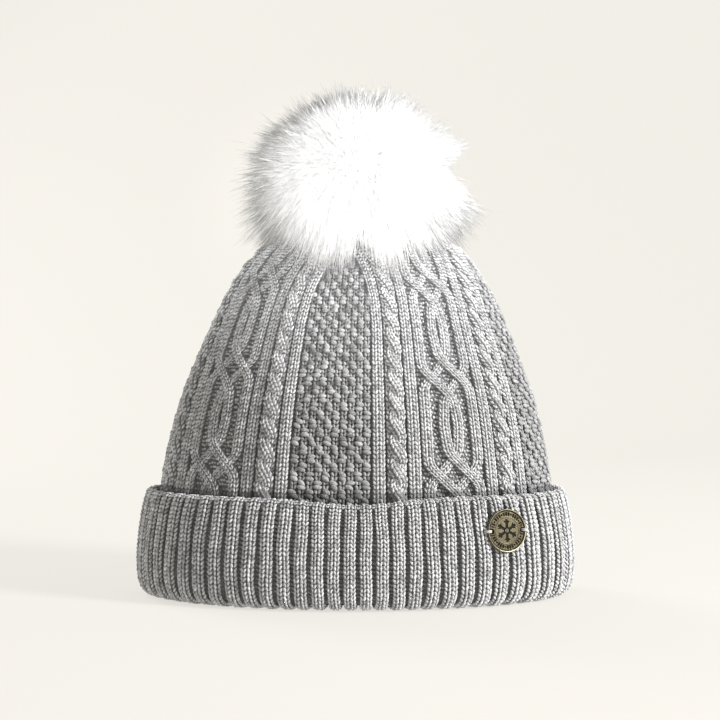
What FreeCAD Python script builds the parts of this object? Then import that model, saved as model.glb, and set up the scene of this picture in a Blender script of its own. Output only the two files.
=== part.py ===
"""Pom pom beanie: a knitted hat with a turned-up rib cuff, a sewn-on brass badge and a faux fur
pom pom that is held by a snap fastener.

Lengths are in millimetres and angles in degrees.  +Z is up, the badge is on the front (-Y), and the
origin is on the floor under the middle of the cuff.
"""
import FreeCAD, Part
import os

# Crown of the hat: height, half width, half depth, and how much of the wall the lining side drops by.
CROWN = [
    (48.0, 98.0, 54.2, 0.0),
    (56.0, 97.3, 53.5, 0.0),
    (77.0, 93.5, 52.6, 0.0),
    (97.0, 88.3, 51.2, 0.0),
    (117.0, 80.8, 49.0, 0.0),
    (132.0, 74.5, 47.0, 0.0),
    (147.5, 67.3, 44.4, 0.1),
    (157.6, 61.0, 41.8, 0.3),
    (165.0, 55.0, 39.2, 0.5),
    (171.5, 48.0, 36.1, 0.7),
    (175.6, 41.0, 32.4, 0.85),
    (178.0, 34.0, 28.4, 0.95),
    (179.3, 28.0, 24.6, 1.0),
    (179.9, 23.0, 21.2, 1.0),
    (180.0, 20.0, 19.0, 1.0),
]

# Turned-up cuff, outside: height, half width, half depth.
CUFF_OUTSIDE = [
    (0.0, 102.4, 58.6),
    (1.0, 104.5, 60.7),
    (3.2, 106.6, 62.8),
    (7.0, 108.1, 64.3),
    (13.0, 108.9, 65.1),
    (19.0, 109.0, 65.2),
    (27.5, 108.5, 64.7),
    (36.5, 107.4, 63.6),
    (44.0, 106.1, 62.3),
    (49.3, 104.8, 61.0),
    (51.7, 103.9, 60.1),
    (52.5, 102.8, 59.0),
]

# Turned-up cuff, the side that faces the hat.
CUFF_INSIDE = [
    (3.5, 101.4, 57.6),
    (8.0, 103.4, 59.6),
    (18.0, 104.2, 60.4),
    (36.5, 102.7, 58.9),
    (47.5, 100.5, 56.7),
    (53.5, 99.6, 55.8),
]

DIMENSIONS = {
    # knit
    "crown_wall": 3.5,
    "crown_lean": 3.0,
    "crown_top": 180.0,
    "crown_hole_radius": 2.4,
    # inner rib layer under the cuff
    "band_bottom": 4.0,
    "band_top": 48.0,
    "band_half_width": 99.0,
    "band_half_depth": 55.2,
    "band_wall": 4.0,
    # cuff fold
    "fold_top": 3.5,
    "fold_half_width": 95.4,
    "fold_half_depth": 51.6,
    # fleece ear band
    "fleece_bottom": 6.0,
    "fleece_top": 46.0,
    "fleece_half_width": 94.8,
    "fleece_half_depth": 51.0,
    "fleece_wall": 2.0,
    # back seam, on the lining side
    "seam_width": 4.0,
    "seam_middle": 0.8,
    "seam_depth": 2.2,
    "seam_gap": 0.1,
    "seam_bottom": 50.0,
    "seam_top": 158.0,
    # badge
    "badge_radius": 10.25,
    "badge_plate": 1.2,
    "badge_rim_width": 0.9,
    "badge_rim_rise": 0.6,
    "badge_ring_radius": 6.4,
    "badge_ring_width": 0.35,
    "badge_relief": 0.3,
    "badge_star_length": 9.6,
    "badge_star_width": 0.8,
    "badge_hole_radius": 1.15,
    "badge_hole_offset": 8.1,
    "badge_across": 70.7,
    "badge_height": 36.5,
    "badge_surface_half_width": 107.4,
    "badge_surface_half_depth": 63.6,
    "badge_turn": 24.0,
    "badge_tilt": 6.0,
    "badge_lift": 0.35,
    # badge threads
    "thread_radius": 0.5,
    "thread_loop_radius": 2.2,
    "thread_sink": 0.1,
    "thread_tunnel_radius": 0.58,
    # gather yarn round the top of the crown
    "yarn_radius": 0.9,
    "yarn_ring_radius": 17.0,
    "yarn_gap": 0.05,
    # felt disc inside the crown
    "backing_bottom": 174.9,
    "backing_top": 176.4,
    "backing_radius": 13.0,
    "backing_hole_radius": 2.4,
    # snap cap with its post, inside the crown
    "cap_bottom": 173.5,
    "cap_top": 174.8,
    "cap_radius": 7.5,
    "cap_post_radius": 2.0,
    "cap_post_top": 183.3,
    # snap stud on the crown
    "stud_flange_bottom": 180.1,
    "stud_flange_top": 181.1,
    "stud_flange_radius": 6.5,
    "stud_neck_radius": 3.3,
    "stud_neck_top": 183.1,
    "stud_head_radius": 3.9,
    "stud_crown_radius": 3.1,
    "stud_head_top": 184.6,
    "stud_bore_radius": 2.15,
    "stud_bore_top": 183.5,
    # ring spring in the socket
    "ring_height": 182.75,
    "ring_radius": 4.7,
    "ring_wire_radius": 0.4,
    # snap socket
    "socket_bottom": 181.5,
    "socket_top": 186.1,
    "socket_radius": 6.6,
    "socket_bore_radius": 4.7,
    "socket_bore_top": 185.3,
    "socket_groove_radius": 5.5,
    "socket_groove_bottom": 182.0,
    "socket_groove_top": 183.5,
    "socket_post_hole": 2.15,
    # felt disc under the pom
    "base_bottom": 186.15,
    "base_top": 187.65,
    "base_radius": 14.0,
    "base_hole_radius": 2.3,
    # socket cap with its post, inside the pom
    "lid_bottom": 187.7,
    "lid_top": 188.7,
    "lid_radius": 7.0,
    "lid_post_radius": 2.0,
    "lid_flare_radius": 2.8,
    "lid_flare_bottom": 184.95,
    "lid_flare_top": 185.25,
    # pom filling and pelt
    "core_height": 211.0,
    "core_radius": 23.0,
    "core_half_height": 19.0,
    "pelt_gap": 0.2,
    "pelt_wall": 1.6,
    "pelt_opening": 9.0,
    # drawstring under the pelt
    "string_radius": 0.7,
    "string_ring_radius": 10.6,
    "string_height": 191.1,
    # fur
    "fur_height": 208.5,
    "fur_radius": 58.5,
    "fur_half_height": 43.5,
    "fur_gap": 0.2,
    "fur_opening": 16.5,
    "fur_opening_top": 196.0,
    "fur_under_inner_height": 187.0,
    "fur_under_outer_height": 180.5,
    "fur_under_inner_radius": 14.9,
    "fur_under_outer_radius": 53.0,
    "fur_floor": 160.0,
    # care label, a folded loop sewn into the back seam
    "label_ply": 0.4,
    "label_half_thickness": 0.9,
    "label_length": 20.0,
    "label_bottom": 62.0,
    "label_top": 78.0,
    "label_hinge": 45.2,
}

doc = FreeCAD.newDocument("PomPomBeanie")
sheet = doc.addObject("Spreadsheet::Sheet", "Dims")
rows_used = 0


def put_dimension(alias, value):
    """Write one named number on its own row of the dimension sheet."""
    global rows_used
    rows_used += 1
    sheet.set("A%d" % rows_used, alias)
    sheet.set("B%d" % rows_used, str(value))
    sheet.setAlias("B%d" % rows_used, alias)


def put_sections(prefix, table):
    """Write the sections of a lofted surface on the sheet, three numbers each."""
    for number, section in enumerate(table):
        put_dimension("%s_%d_height" % (prefix, number), section[0])
        put_dimension("%s_%d_half_width" % (prefix, number), section[1])
        put_dimension("%s_%d_half_depth" % (prefix, number), section[2])


def bind(thing, **expressions):
    """Tie properties of an object to expressions.  Dots in a property's path are written as __."""
    for path, expression in expressions.items():
        thing.setExpression(path.replace("__", "."), expression)
    return thing


def d(alias):
    """The expression of one dimension."""
    return "Dims." + alias


def lean(height):
    """The expression for how far the hat's middle is to the right at a height."""
    return "Dims.crown_lean * (%s) ^ 2 / Dims.crown_top ^ 2" % height


def ellipse(name, height, half_width, half_depth, middle="0"):
    """A level ellipse that closes a loft or stands inside it."""
    curve = doc.addObject("Part::Ellipse", name)
    return bind(
        curve,
        MajorRadius=half_width,
        MinorRadius=half_depth,
        Placement__Base__x=middle,
        Placement__Base__z=height,
    )


def loft(name, sections, ruled=False):
    """A solid through level ellipses."""
    body = doc.addObject("Part::Loft", name)
    body.Sections = sections
    body.Solid = True
    body.Ruled = ruled
    return body


def cut(name, base, tool):
    body = doc.addObject("Part::Cut", name)
    body.Base = base
    body.Tool = tool
    return body


def fuse(name, pieces):
    body = doc.addObject("Part::MultiFuse", name)
    body.Shapes = pieces
    return body


def common(name, pieces):
    body = doc.addObject("Part::MultiCommon", name)
    body.Shapes = pieces
    return body


def disc(name, radius, bottom, top, middle="Dims.crown_lean"):
    """An upright cylinder about the axis of the pom."""
    body = doc.addObject("Part::Cylinder", name)
    return bind(
        body,
        Radius=radius,
        Height="(%s) - (%s)" % (top, bottom),
        Placement__Base__x=middle,
        Placement__Base__z=bottom,
    )


def cone(name, lower_radius, upper_radius, bottom, top):
    """An upright truncated cone about the axis of the pom."""
    body = doc.addObject("Part::Cone", name)
    return bind(
        body,
        Radius1=lower_radius,
        Radius2=upper_radius,
        Height="(%s) - (%s)" % (top, bottom),
        Placement__Base__x=d("crown_lean"),
        Placement__Base__z=bottom,
    )


def level_ring(name, ring_radius, wire_radius, height):
    """A level torus about the axis of the pom."""
    body = doc.addObject("Part::Torus", name)
    return bind(
        body,
        Radius1=ring_radius,
        Radius2=wire_radius,
        Placement__Base__x=d("crown_lean"),
        Placement__Base__z=height,
    )


def ball(name, radius, half_height, height):
    """An ellipsoid of revolution about the axis of the pom."""
    body = doc.addObject("Part::Ellipsoid", name)
    return bind(
        body,
        Radius1=half_height,
        Radius2=radius,
        Radius3=radius,
        Placement__Base__x=d("crown_lean"),
        Placement__Base__z=height,
    )


def box(name, length, width, height, x, y, z):
    body = doc.addObject("Part::Box", name)
    return bind(
        body,
        Length=length,
        Width=width,
        Height=height,
        Placement__Base__x=x,
        Placement__Base__y=y,
        Placement__Base__z=z,
    )


def crown_loft(name, inset, drop):
    """The crown's surface, moved inward by an inset and down by a share of a drop near the top."""
    sections = []
    for number, section in enumerate(CROWN):
        key = "crown_%d" % number
        height = "%s - %s * (%s)" % (d(key + "_height"), section[3], drop)
        sections.append(
            ellipse(
                "%s_section_%d" % (name, number),
                height,
                "%s - (%s)" % (d(key + "_half_width"), inset),
                "%s - (%s)" % (d(key + "_half_depth"), inset),
                lean(d(key + "_height")),
            )
        )
    return loft(name, sections)


def table_loft(name, prefix, table):
    """A loft through the sections of one table."""
    sections = []
    for number in range(len(table)):
        key = "%s_%d" % (prefix, number)
        sections.append(
            ellipse(
                "%s_section_%d" % (name, number),
                d(key + "_height"),
                d(key + "_half_width"),
                d(key + "_half_depth"),
            )
        )
    return loft(name, sections)


def straight_sleeve(name, half_width, half_depth, bottom, top, middle="0"):
    """An upright elliptical prism."""
    lower = ellipse(name + "_lower", bottom, half_width, half_depth, middle)
    upper = ellipse(name + "_upper", top, half_width, half_depth, middle)
    return loft(name, [lower, upper], ruled=True)


def crown():
    """The cabled knit, with a small hole in its top for the snap's post."""
    outside = crown_loft("crown_outside", "0", "0")
    inside = crown_loft("crown_inside", d("crown_wall"), d("crown_wall"))
    mouth = straight_sleeve(
        "crown_mouth",
        "Dims.crown_0_half_width - Dims.crown_wall",
        "Dims.crown_0_half_depth - Dims.crown_wall",
        "Dims.crown_0_height - 1",
        "Dims.crown_0_height + 0.5",
        lean(d("crown_0_height")),
    )
    hollow = fuse("crown_hollow", [inside, mouth])
    shell = cut("crown_shell", outside, hollow)
    hole = disc("crown_hole", d("crown_hole_radius"), "Dims.crown_top - 8", "Dims.crown_top + 2")
    return cut("crown_knit", shell, hole)


def rib_band():
    """The inner layer of rib that the cuff is turned up over."""
    outside = straight_sleeve(
        "band_outside",
        d("band_half_width"),
        d("band_half_depth"),
        d("band_bottom"),
        d("band_top"),
    )
    inside = straight_sleeve(
        "band_inside",
        "Dims.band_half_width - Dims.band_wall",
        "Dims.band_half_depth - Dims.band_wall",
        "Dims.band_bottom - 1",
        "Dims.band_top + 1",
    )
    return cut("band_sleeve", outside, inside)


def fleece_band():
    outside = straight_sleeve(
        "fleece_outside",
        d("fleece_half_width"),
        d("fleece_half_depth"),
        d("fleece_bottom"),
        d("fleece_top"),
    )
    inside = straight_sleeve(
        "fleece_inside",
        "Dims.fleece_half_width - Dims.fleece_wall",
        "Dims.fleece_half_depth - Dims.fleece_wall",
        "Dims.fleece_bottom - 1",
        "Dims.fleece_top + 1",
    )
    return cut("fleece_sleeve", outside, inside)


def back_seam():
    """The ridge of the seam allowance down the inside of the back."""
    near = crown_loft("seam_near", "Dims.crown_wall + Dims.seam_gap", d("crown_wall"))
    far = crown_loft(
        "seam_far", "Dims.crown_wall + Dims.seam_gap + Dims.seam_depth", d("crown_wall")
    )
    lining = cut("seam_lining", near, far)
    strip = box(
        "seam_strip",
        d("seam_width"),
        "100",
        "Dims.seam_top - Dims.seam_bottom",
        "Dims.seam_middle - Dims.seam_width / 2",
        "0",
        d("seam_bottom"),
    )
    return common("seam_ridge", [lining, strip])


def badge_place(across, out):
    """The placement of a piece of the badge, moved across the badge and out of the cloth."""
    surface = "-Dims.badge_surface_half_depth * sqrt(1 - (%s / %s) ^ 2)" % (
        d("badge_across"),
        d("badge_surface_half_width"),
    )
    turn = d("badge_turn")
    tilt = d("badge_tilt")
    x = "%s + (%s) * cos(%s) + (%s) * sin(%s) * cos(%s)" % (
        d("badge_across"),
        across,
        turn,
        out,
        turn,
        tilt,
    )
    y = "%s + (%s) * sin(%s) - (%s) * cos(%s) * cos(%s)" % (
        surface,
        across,
        turn,
        out,
        turn,
        tilt,
    )
    z = "%s + (%s) * sin(%s)" % (d("badge_height"), out, tilt)
    return x, y, z


def place_on_badge(thing, across, out, roll):
    """Stand a piece on the badge's plane.  A roll of 90 less the tilt faces its own Z outward."""
    x, y, z = badge_place(across, out)
    thing.Placement.Rotation = FreeCAD.Rotation(DIMENSIONS["badge_turn"], 0, roll)
    return bind(thing, Placement__Base__x=x, Placement__Base__y=y, Placement__Base__z=z)


def badge():
    """A round plate with a raised rim, a thin inner ring, a six-armed star and two sewing holes."""
    plate = disc("badge_blank", d("badge_radius"), "0", d("badge_plate"), "0")
    face = "Dims.badge_plate - 0.1"
    rim_outside = disc(
        "badge_rim_outside", d("badge_radius"), face, "Dims.badge_plate + Dims.badge_rim_rise", "0"
    )
    rim_inside = disc(
        "badge_rim_inside",
        "Dims.badge_radius - Dims.badge_rim_width",
        "0",
        "Dims.badge_plate + 2",
        "0",
    )
    rim = cut("badge_rim", rim_outside, rim_inside)
    ring_outside = disc(
        "badge_ring_outside",
        d("badge_ring_radius"),
        face,
        "Dims.badge_plate + Dims.badge_relief",
        "0",
    )
    ring_inside = disc(
        "badge_ring_inside",
        "Dims.badge_ring_radius - Dims.badge_ring_width",
        "0",
        "Dims.badge_plate + 2",
        "0",
    )
    ring = cut("badge_ring", ring_outside, ring_inside)
    arms = []
    for number in range(3):
        arm = doc.addObject("Part::Box", "badge_arm_%d" % number)
        bind(
            arm,
            Length=d("badge_star_length"),
            Width=d("badge_star_width"),
            Height="Dims.badge_relief + 0.1",
        )
        turn = FreeCAD.Rotation(FreeCAD.Vector(0, 0, 1), 60 * number + 30)
        corner = FreeCAD.Vector(
            -DIMENSIONS["badge_star_length"] / 2, -DIMENSIONS["badge_star_width"] / 2, 0
        )
        arm.Placement = FreeCAD.Placement(turn.multVec(corner), turn)
        bind(arm, Placement__Base__z=face)
        arms.append(arm)
    solid = fuse("badge_solid", [plate, rim, ring] + arms)
    holes = []
    for side, sign in (("left", "-"), ("right", "")):
        holes.append(
            disc(
                "badge_hole_" + side,
                d("badge_hole_radius"),
                "-1",
                "Dims.badge_plate + 2",
                sign + d("badge_hole_offset"),
            )
        )
    drilled = cut("badge_drilled", solid, fuse("badge_holes", holes))
    return place_on_badge(drilled, "0", d("badge_lift"), 90 - DIMENSIONS["badge_tilt"])


def thread_ring(name, wire_radius, sign):
    """A loop of thread through a sewing hole and round the badge's edge."""
    loop = doc.addObject("Part::Torus", name)
    bind(loop, Radius1=d("thread_loop_radius"), Radius2=wire_radius)
    across = "%s(Dims.badge_hole_offset + Dims.thread_loop_radius)" % sign
    out = "Dims.badge_lift + Dims.badge_plate / 2 - Dims.thread_sink"
    return place_on_badge(loop, across, out, 0)


def cuff():
    """The turned-up rib, with the fold under the hat's edge and the tunnels of the badge's thread."""
    outside = table_loft("cuff_outside", "cuff_out", CUFF_OUTSIDE)
    hollow = table_loft("cuff_hollow", "cuff_in", CUFF_INSIDE)
    shell = cut("cuff_shell", outside, hollow)
    opening = straight_sleeve(
        "cuff_opening",
        d("fold_half_width"),
        d("fold_half_depth"),
        "-1",
        "Dims.fold_top + 1",
    )
    folded = cut("cuff_folded", shell, opening)
    tunnels = fuse(
        "cuff_tunnels",
        [
            thread_ring("tunnel_left", d("thread_tunnel_radius"), "-"),
            thread_ring("tunnel_right", d("thread_tunnel_radius"), ""),
        ],
    )
    return cut("cuff_rib", folded, tunnels)


def gather_yarn():
    return level_ring(
        "gather_ring",
        d("yarn_ring_radius"),
        d("yarn_radius"),
        "Dims.crown_top + Dims.yarn_radius + Dims.yarn_gap",
    )


def washer(name, radius, hole_radius, bottom, top):
    """A disc with a hole."""
    blank = disc(name + "_blank", radius, bottom, top)
    hole = disc(name + "_hole", hole_radius, "(%s) - 1" % bottom, "(%s) + 1" % top)
    return cut(name, blank, hole)


def snap_cap():
    """The inner half of the hat's fastener: a shallow cap and its hollow post."""
    edge = disc("cap_edge", d("cap_radius"), "Dims.cap_bottom + 0.5", d("cap_top"))
    dome = cone("cap_dome", "Dims.cap_radius - 1.2", d("cap_radius"), d("cap_bottom"), "Dims.cap_bottom + 0.5")
    post = disc("cap_post", d("cap_post_radius"), "Dims.cap_top - 0.2", d("cap_post_top"))
    return fuse("cap_and_post", [edge, dome, post])


def snap_stud():
    """The outer half of the hat's fastener: a flange, a neck and a wider head."""
    flange = disc(
        "stud_flange", d("stud_flange_radius"), d("stud_flange_bottom"), d("stud_flange_top")
    )
    neck = disc(
        "stud_neck", d("stud_neck_radius"), "Dims.stud_flange_top - 0.1", "Dims.stud_neck_top + 0.1"
    )
    head = disc("stud_head", d("stud_head_radius"), d("stud_neck_top"), "Dims.stud_head_top - 0.7")
    top = cone(
        "stud_top",
        d("stud_head_radius"),
        d("stud_crown_radius"),
        "Dims.stud_head_top - 0.7",
        d("stud_head_top"),
    )
    solid = fuse("stud_solid", [flange, neck, head, top])
    bore = disc(
        "stud_bore", d("stud_bore_radius"), "Dims.stud_flange_bottom - 1", d("stud_bore_top")
    )
    return cut("stud_bored", solid, bore)


def snap_socket():
    """The pom's half of the fastener, with the groove that holds the ring spring."""
    blank = disc("socket_blank", d("socket_radius"), d("socket_bottom"), d("socket_top"))
    bore = disc(
        "socket_bore", d("socket_bore_radius"), "Dims.socket_bottom - 1", d("socket_bore_top")
    )
    groove = disc(
        "socket_groove",
        d("socket_groove_radius"),
        d("socket_groove_bottom"),
        d("socket_groove_top"),
    )
    post_hole = disc(
        "socket_hole", d("socket_post_hole"), "Dims.socket_bore_top - 1", "Dims.socket_top + 1"
    )
    return cut("socket_turned", blank, fuse("socket_waste", [bore, groove, post_hole]))


def socket_lid():
    """The cap inside the pom that holds the socket to its felt disc."""
    plate = disc("lid_plate", d("lid_radius"), d("lid_bottom"), d("lid_top"))
    post = disc("lid_post", d("lid_post_radius"), d("lid_flare_bottom"), "Dims.lid_bottom + 0.2")
    flare = disc("lid_flare", d("lid_flare_radius"), d("lid_flare_bottom"), d("lid_flare_top"))
    return fuse("lid_and_post", [plate, post, flare])


def pelt():
    """The backing of the fur, an open-bottomed bag round the filling."""
    gap = d("pelt_gap")
    outside = ball(
        "pelt_outside",
        "Dims.core_radius + %s + Dims.pelt_wall" % gap,
        "Dims.core_half_height + %s + Dims.pelt_wall" % gap,
        d("core_height"),
    )
    inside = ball(
        "pelt_inside",
        "Dims.core_radius + %s" % gap,
        "Dims.core_half_height + %s" % gap,
        d("core_height"),
    )
    bag = cut("pelt_bag", outside, inside)
    opening = disc("pelt_mouth", d("pelt_opening"), "Dims.core_height - 30", d("core_height"))
    return cut("pelt_open", bag, opening)


def fur():
    """The space the pile fills: a ball that is cut off above the crown and hollow round the pelt."""
    outside = ball("fur_outside", d("fur_radius"), d("fur_half_height"), d("fur_height"))
    hollow = ball(
        "fur_hollow",
        "Dims.core_radius + Dims.pelt_gap + Dims.pelt_wall + Dims.fur_gap",
        "Dims.core_half_height + Dims.pelt_gap + Dims.pelt_wall + Dims.fur_gap",
        d("core_height"),
    )
    opening = disc("fur_mouth", d("fur_opening"), d("fur_floor"), d("fur_opening_top"))
    below = disc("fur_below", "Dims.fur_radius + 5", d("fur_floor"), d("fur_under_outer_height"))
    slope = cone(
        "fur_slope",
        d("fur_under_outer_radius"),
        d("fur_under_inner_radius"),
        "Dims.fur_under_outer_height - 0.01",
        d("fur_under_inner_height"),
    )
    return cut("fur_pile", outside, fuse("fur_waste", [hollow, opening, below, slope]))


def label_slot(name, half_thickness, bottom, top):
    """An upright slab with rounded ends, from the hinge inward."""
    middle = d("seam_middle")
    tip = "Dims.label_hinge - Dims.label_length + Dims.label_half_thickness"
    slab = box(
        name + "_slab",
        "2 * (%s)" % half_thickness,
        "Dims.label_length - Dims.label_half_thickness",
        "(%s) - (%s)" % (top, bottom),
        "%s - (%s)" % (middle, half_thickness),
        tip,
        bottom,
    )
    root = disc(name + "_root", half_thickness, bottom, top, middle)
    bind(root, Placement__Base__y=d("label_hinge"))
    end = disc(name + "_end", half_thickness, bottom, top, middle)
    bind(end, Placement__Base__y=tip)
    return fuse(name, [slab, root, end])


def label():
    """A folded satin loop."""
    outside = label_slot(
        "label_outside", d("label_half_thickness"), d("label_bottom"), d("label_top")
    )
    inside = label_slot(
        "label_inside",
        "Dims.label_half_thickness - Dims.label_ply",
        "Dims.label_bottom - 1",
        "Dims.label_top + 1",
    )
    return cut("label_loop", outside, inside)


def build():
    """Make every piece.  Returns the finished object of each by its name."""
    return {
        "knit_crown": crown(),
        "rib_band": rib_band(),
        "fleece_ear_band": fleece_band(),
        "back_seam": back_seam(),
        "crown_gather_yarn": gather_yarn(),
        "crown_backing_disc": washer(
            "backing_felt",
            d("backing_radius"),
            d("backing_hole_radius"),
            d("backing_bottom"),
            d("backing_top"),
        ),
        "snap_cap": snap_cap(),
        "snap_stud": snap_stud(),
        "rib_cuff": cuff(),
        "badge_disc": badge(),
        "badge_thread_left": thread_ring("thread_left", d("thread_radius"), "-"),
        "badge_thread_right": thread_ring("thread_right", d("thread_radius"), ""),
        "snap_ring_spring": level_ring(
            "ring_spring", d("ring_radius"), d("ring_wire_radius"), d("ring_height")
        ),
        "snap_socket": snap_socket(),
        "socket_cap": socket_lid(),
        "pom_base_disc": washer(
            "base_felt",
            d("base_radius"),
            d("base_hole_radius"),
            d("base_bottom"),
            d("base_top"),
        ),
        "pom_core": ball("core_ball", d("core_radius"), d("core_half_height"), d("core_height")),
        "pom_pelt": pelt(),
        "pom_drawstring": level_ring(
            "string_ring", d("string_ring_radius"), d("string_radius"), d("string_height")
        ),
        "pom_fur": fur(),
        "care_label": label(),
    }


def check(pieces):
    """Stop on any object that didn't recompute and on any piece without a sound solid."""
    for thing in doc.Objects:
        if "Invalid" in thing.State or "Error" in thing.State:
            raise RuntimeError("%s did not recompute: %s" % (thing.Name, thing.State))
    for name, thing in pieces.items():
        shape = thing.Shape
        if shape.isNull() or not shape.isValid() or not shape.Solids:
            raise RuntimeError("%s has no valid solid" % name)
        bounds = shape.optimalBoundingBox(False)
        print(
            "%-20s solids %d  volume %9.1f mm3  x %.1f..%.1f  y %.1f..%.1f  z %.1f..%.1f"
            % (
                name,
                len(shape.Solids),
                shape.Volume,
                bounds.XMin,
                bounds.XMax,
                bounds.YMin,
                bounds.YMax,
                bounds.ZMin,
                bounds.ZMax,
            )
        )


for dimension, amount in DIMENSIONS.items():
    put_dimension(dimension, amount)
put_sections("crown", CROWN)
put_sections("cuff_out", CUFF_OUTSIDE)
put_sections("cuff_in", CUFF_INSIDE)
doc.recompute()

nodes = build()
for node_name, node in nodes.items():
    node.Label = node_name
doc.recompute()
check(nodes)

os.makedirs("parts", exist_ok=True)
for node_name, node in nodes.items():
    node.Shape.exportStep("parts/%s.step" % node_name)
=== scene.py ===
"""Looks of the pom pom beanie: stitch-by-stitch knit, faux fur, badge, fleece and snap.

Lengths are millimetres until a mesh is made, and the axes are the CAD model's: +Z up, front to -Y.
A point of the cloth is given by a share of the way round (0 at the front, rising to the right), a
distance along the cloth and a height off it.
"""
import math

import bmesh
import bpy
import numpy as np
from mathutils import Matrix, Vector


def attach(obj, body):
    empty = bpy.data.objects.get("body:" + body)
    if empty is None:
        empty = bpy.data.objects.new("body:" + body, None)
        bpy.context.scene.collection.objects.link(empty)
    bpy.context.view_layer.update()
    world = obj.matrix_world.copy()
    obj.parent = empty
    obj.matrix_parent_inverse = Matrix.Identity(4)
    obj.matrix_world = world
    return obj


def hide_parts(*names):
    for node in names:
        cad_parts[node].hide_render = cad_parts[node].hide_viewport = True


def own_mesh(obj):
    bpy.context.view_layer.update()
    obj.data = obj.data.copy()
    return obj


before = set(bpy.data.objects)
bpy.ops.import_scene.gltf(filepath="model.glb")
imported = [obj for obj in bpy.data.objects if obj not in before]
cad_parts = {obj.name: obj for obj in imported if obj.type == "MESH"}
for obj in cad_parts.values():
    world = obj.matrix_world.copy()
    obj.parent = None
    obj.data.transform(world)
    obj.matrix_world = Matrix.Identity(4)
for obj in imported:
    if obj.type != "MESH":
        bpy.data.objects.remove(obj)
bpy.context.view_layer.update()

MM = 0.001
POM_X = 3.0
PALE = (0.905, 0.880, 0.823, 1)

# The knit: the height of a row, and the width of a column of V stitches.
ROW = 2.1
WALE = 3.0

# The crown's pattern, in millimetres round its lower edge.
REPEATS = 4
REPEAT_WIDTH = 121.0
MOSS_WIDTH = 38.7
MOSS_COLUMN = 3.87
FRONT_SHIFT = -12.5
BASE_ROUND = 484.0
RIB_NEAR = 23.5
ROPE = 32.2
RIB_FAR = 40.9
LATTICE = 60.5
BAND_HALF = 3.1
LATTICE_PERIOD = 48.0
LATTICE_STARTS = (38.6, 30.0, 41.0, 43.5)
ROPE_PERIOD = 10.8

# The cuff: how much less deep than wide it is, its ribs and its length round.
CUFF_DEPTH_LESS = 43.8
CUFF_RIBS = 62
CUFF_ROUND = 556.0

# Height, half width and half depth of the crown.
CROWN_PROFILE = [
    (48.0, 98.0, 54.2),
    (56.0, 97.3, 53.5),
    (77.0, 93.5, 52.6),
    (97.0, 88.3, 51.2),
    (117.0, 80.8, 49.0),
    (132.0, 74.5, 47.0),
    (147.5, 67.3, 44.4),
    (157.6, 61.0, 41.8),
    (165.0, 55.0, 39.2),
    (171.5, 48.0, 36.1),
    (175.6, 41.0, 32.4),
    (178.0, 34.0, 28.4),
    (179.3, 28.0, 24.6),
    (179.9, 23.0, 21.2),
    (180.0, 20.0, 19.0),
    (180.0, 10.0, 10.0),
    (180.0, 3.0, 3.0),
]

# Height and half width of the cuff, from the lip under the fold, up the outside and over the top.
CUFF_PROFILE = [
    (3.4, 95.6),
    (1.7, 95.6),
    (0.85, 96.6),
    (0.65, 99.0),
    (0.8, 102.2),
    (1.5, 104.6),
    (3.4, 106.6),
    (7.0, 108.1),
    (13.0, 108.9),
    (19.0, 109.0),
    (27.5, 108.5),
    (36.5, 107.4),
    (44.0, 106.1),
    (49.3, 104.8),
    (51.6, 103.9),
    (52.4, 102.6),
    (52.1, 101.0),
    (50.3, 100.4),
    (44.0, 101.2),
]
CUFF_LINING = [(44.0, 101.2), (36.5, 102.6), (18.0, 104.1), (8.0, 103.3), (3.6, 101.2), (3.4, 95.6)]

# The body and the material slot of the pieces that stand for each CAD node.
PLACES = {
    "knit_crown": ("hat", "knit_yarn"),
    "rib_band": ("hat", "knit_yarn"),
    "rib_cuff": ("cuff", "knit_yarn"),
    "fleece_ear_band": ("hat", "fleece"),
    "crown_gather_yarn": ("hat", "seam_yarn"),
    "back_seam": ("hat", "seam_yarn"),
    "crown_backing_disc": ("hat", "felt"),
    "badge_disc": ("cuff", "badge_brass"),
    "badge_thread_left": ("cuff", "thread"),
    "badge_thread_right": ("cuff", "thread"),
    "care_label": ("label", "satin"),
    "pom_base_disc": ("pom_base", "felt"),
    "pom_core": ("pom_ball", "filling"),
    "pom_pelt": ("pom_ball", "pelt"),
    "pom_drawstring": ("pom_ball", "thread"),
    "pom_fur": ("pom_ball", "fur"),
}


# --------------------------------------------------------------------------- surfaces


def full_turn(steps):
    """Angles of equal steps once round."""
    return np.linspace(0, 2 * np.pi, steps, endpoint=False)


def run_along(path):
    """The distance along a path of points to each of them."""
    return np.concatenate([[0], np.cumsum(np.linalg.norm(np.diff(path, axis=0), axis=1))])


def smooth_path(points, step):
    """Points evenly spaced along a centripetal Catmull-Rom curve through the given ones."""
    points = np.array(points, float)
    ends = np.vstack([2 * points[0] - points[1], points, 2 * points[-1] - points[-2]])
    s = np.linspace(0, 1, 24, endpoint=False)[:, None]
    fine = []
    for p0, p1, p2, p3 in zip(ends, ends[1:], ends[2:], ends[3:]):
        d0, d1, d2 = [max(np.linalg.norm(b - a), 1e-6) ** 0.5 for a, b in ((p0, p1), (p1, p2), (p2, p3))]
        m1 = ((p1 - p0) / d0 - (p2 - p0) / (d0 + d1) + (p2 - p1) / d1) * d1
        m2 = ((p2 - p1) / d1 - (p3 - p1) / (d1 + d2) + (p3 - p2) / d2) * d1
        fine.append(
            (2 * s**3 - 3 * s**2 + 1) * p1
            + (s**3 - 2 * s**2 + s) * m1
            + (-2 * s**3 + 3 * s**2) * p2
            + (s**3 - s**2) * m2
        )
    fine = np.vstack(fine + [points[-1:]])
    length = run_along(fine)
    even = np.linspace(0, length[-1], max(int(length[-1] / step), 2) + 1)
    return np.stack([np.interp(even, length, fine[:, k]) for k in range(fine.shape[1])], axis=1)


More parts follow.
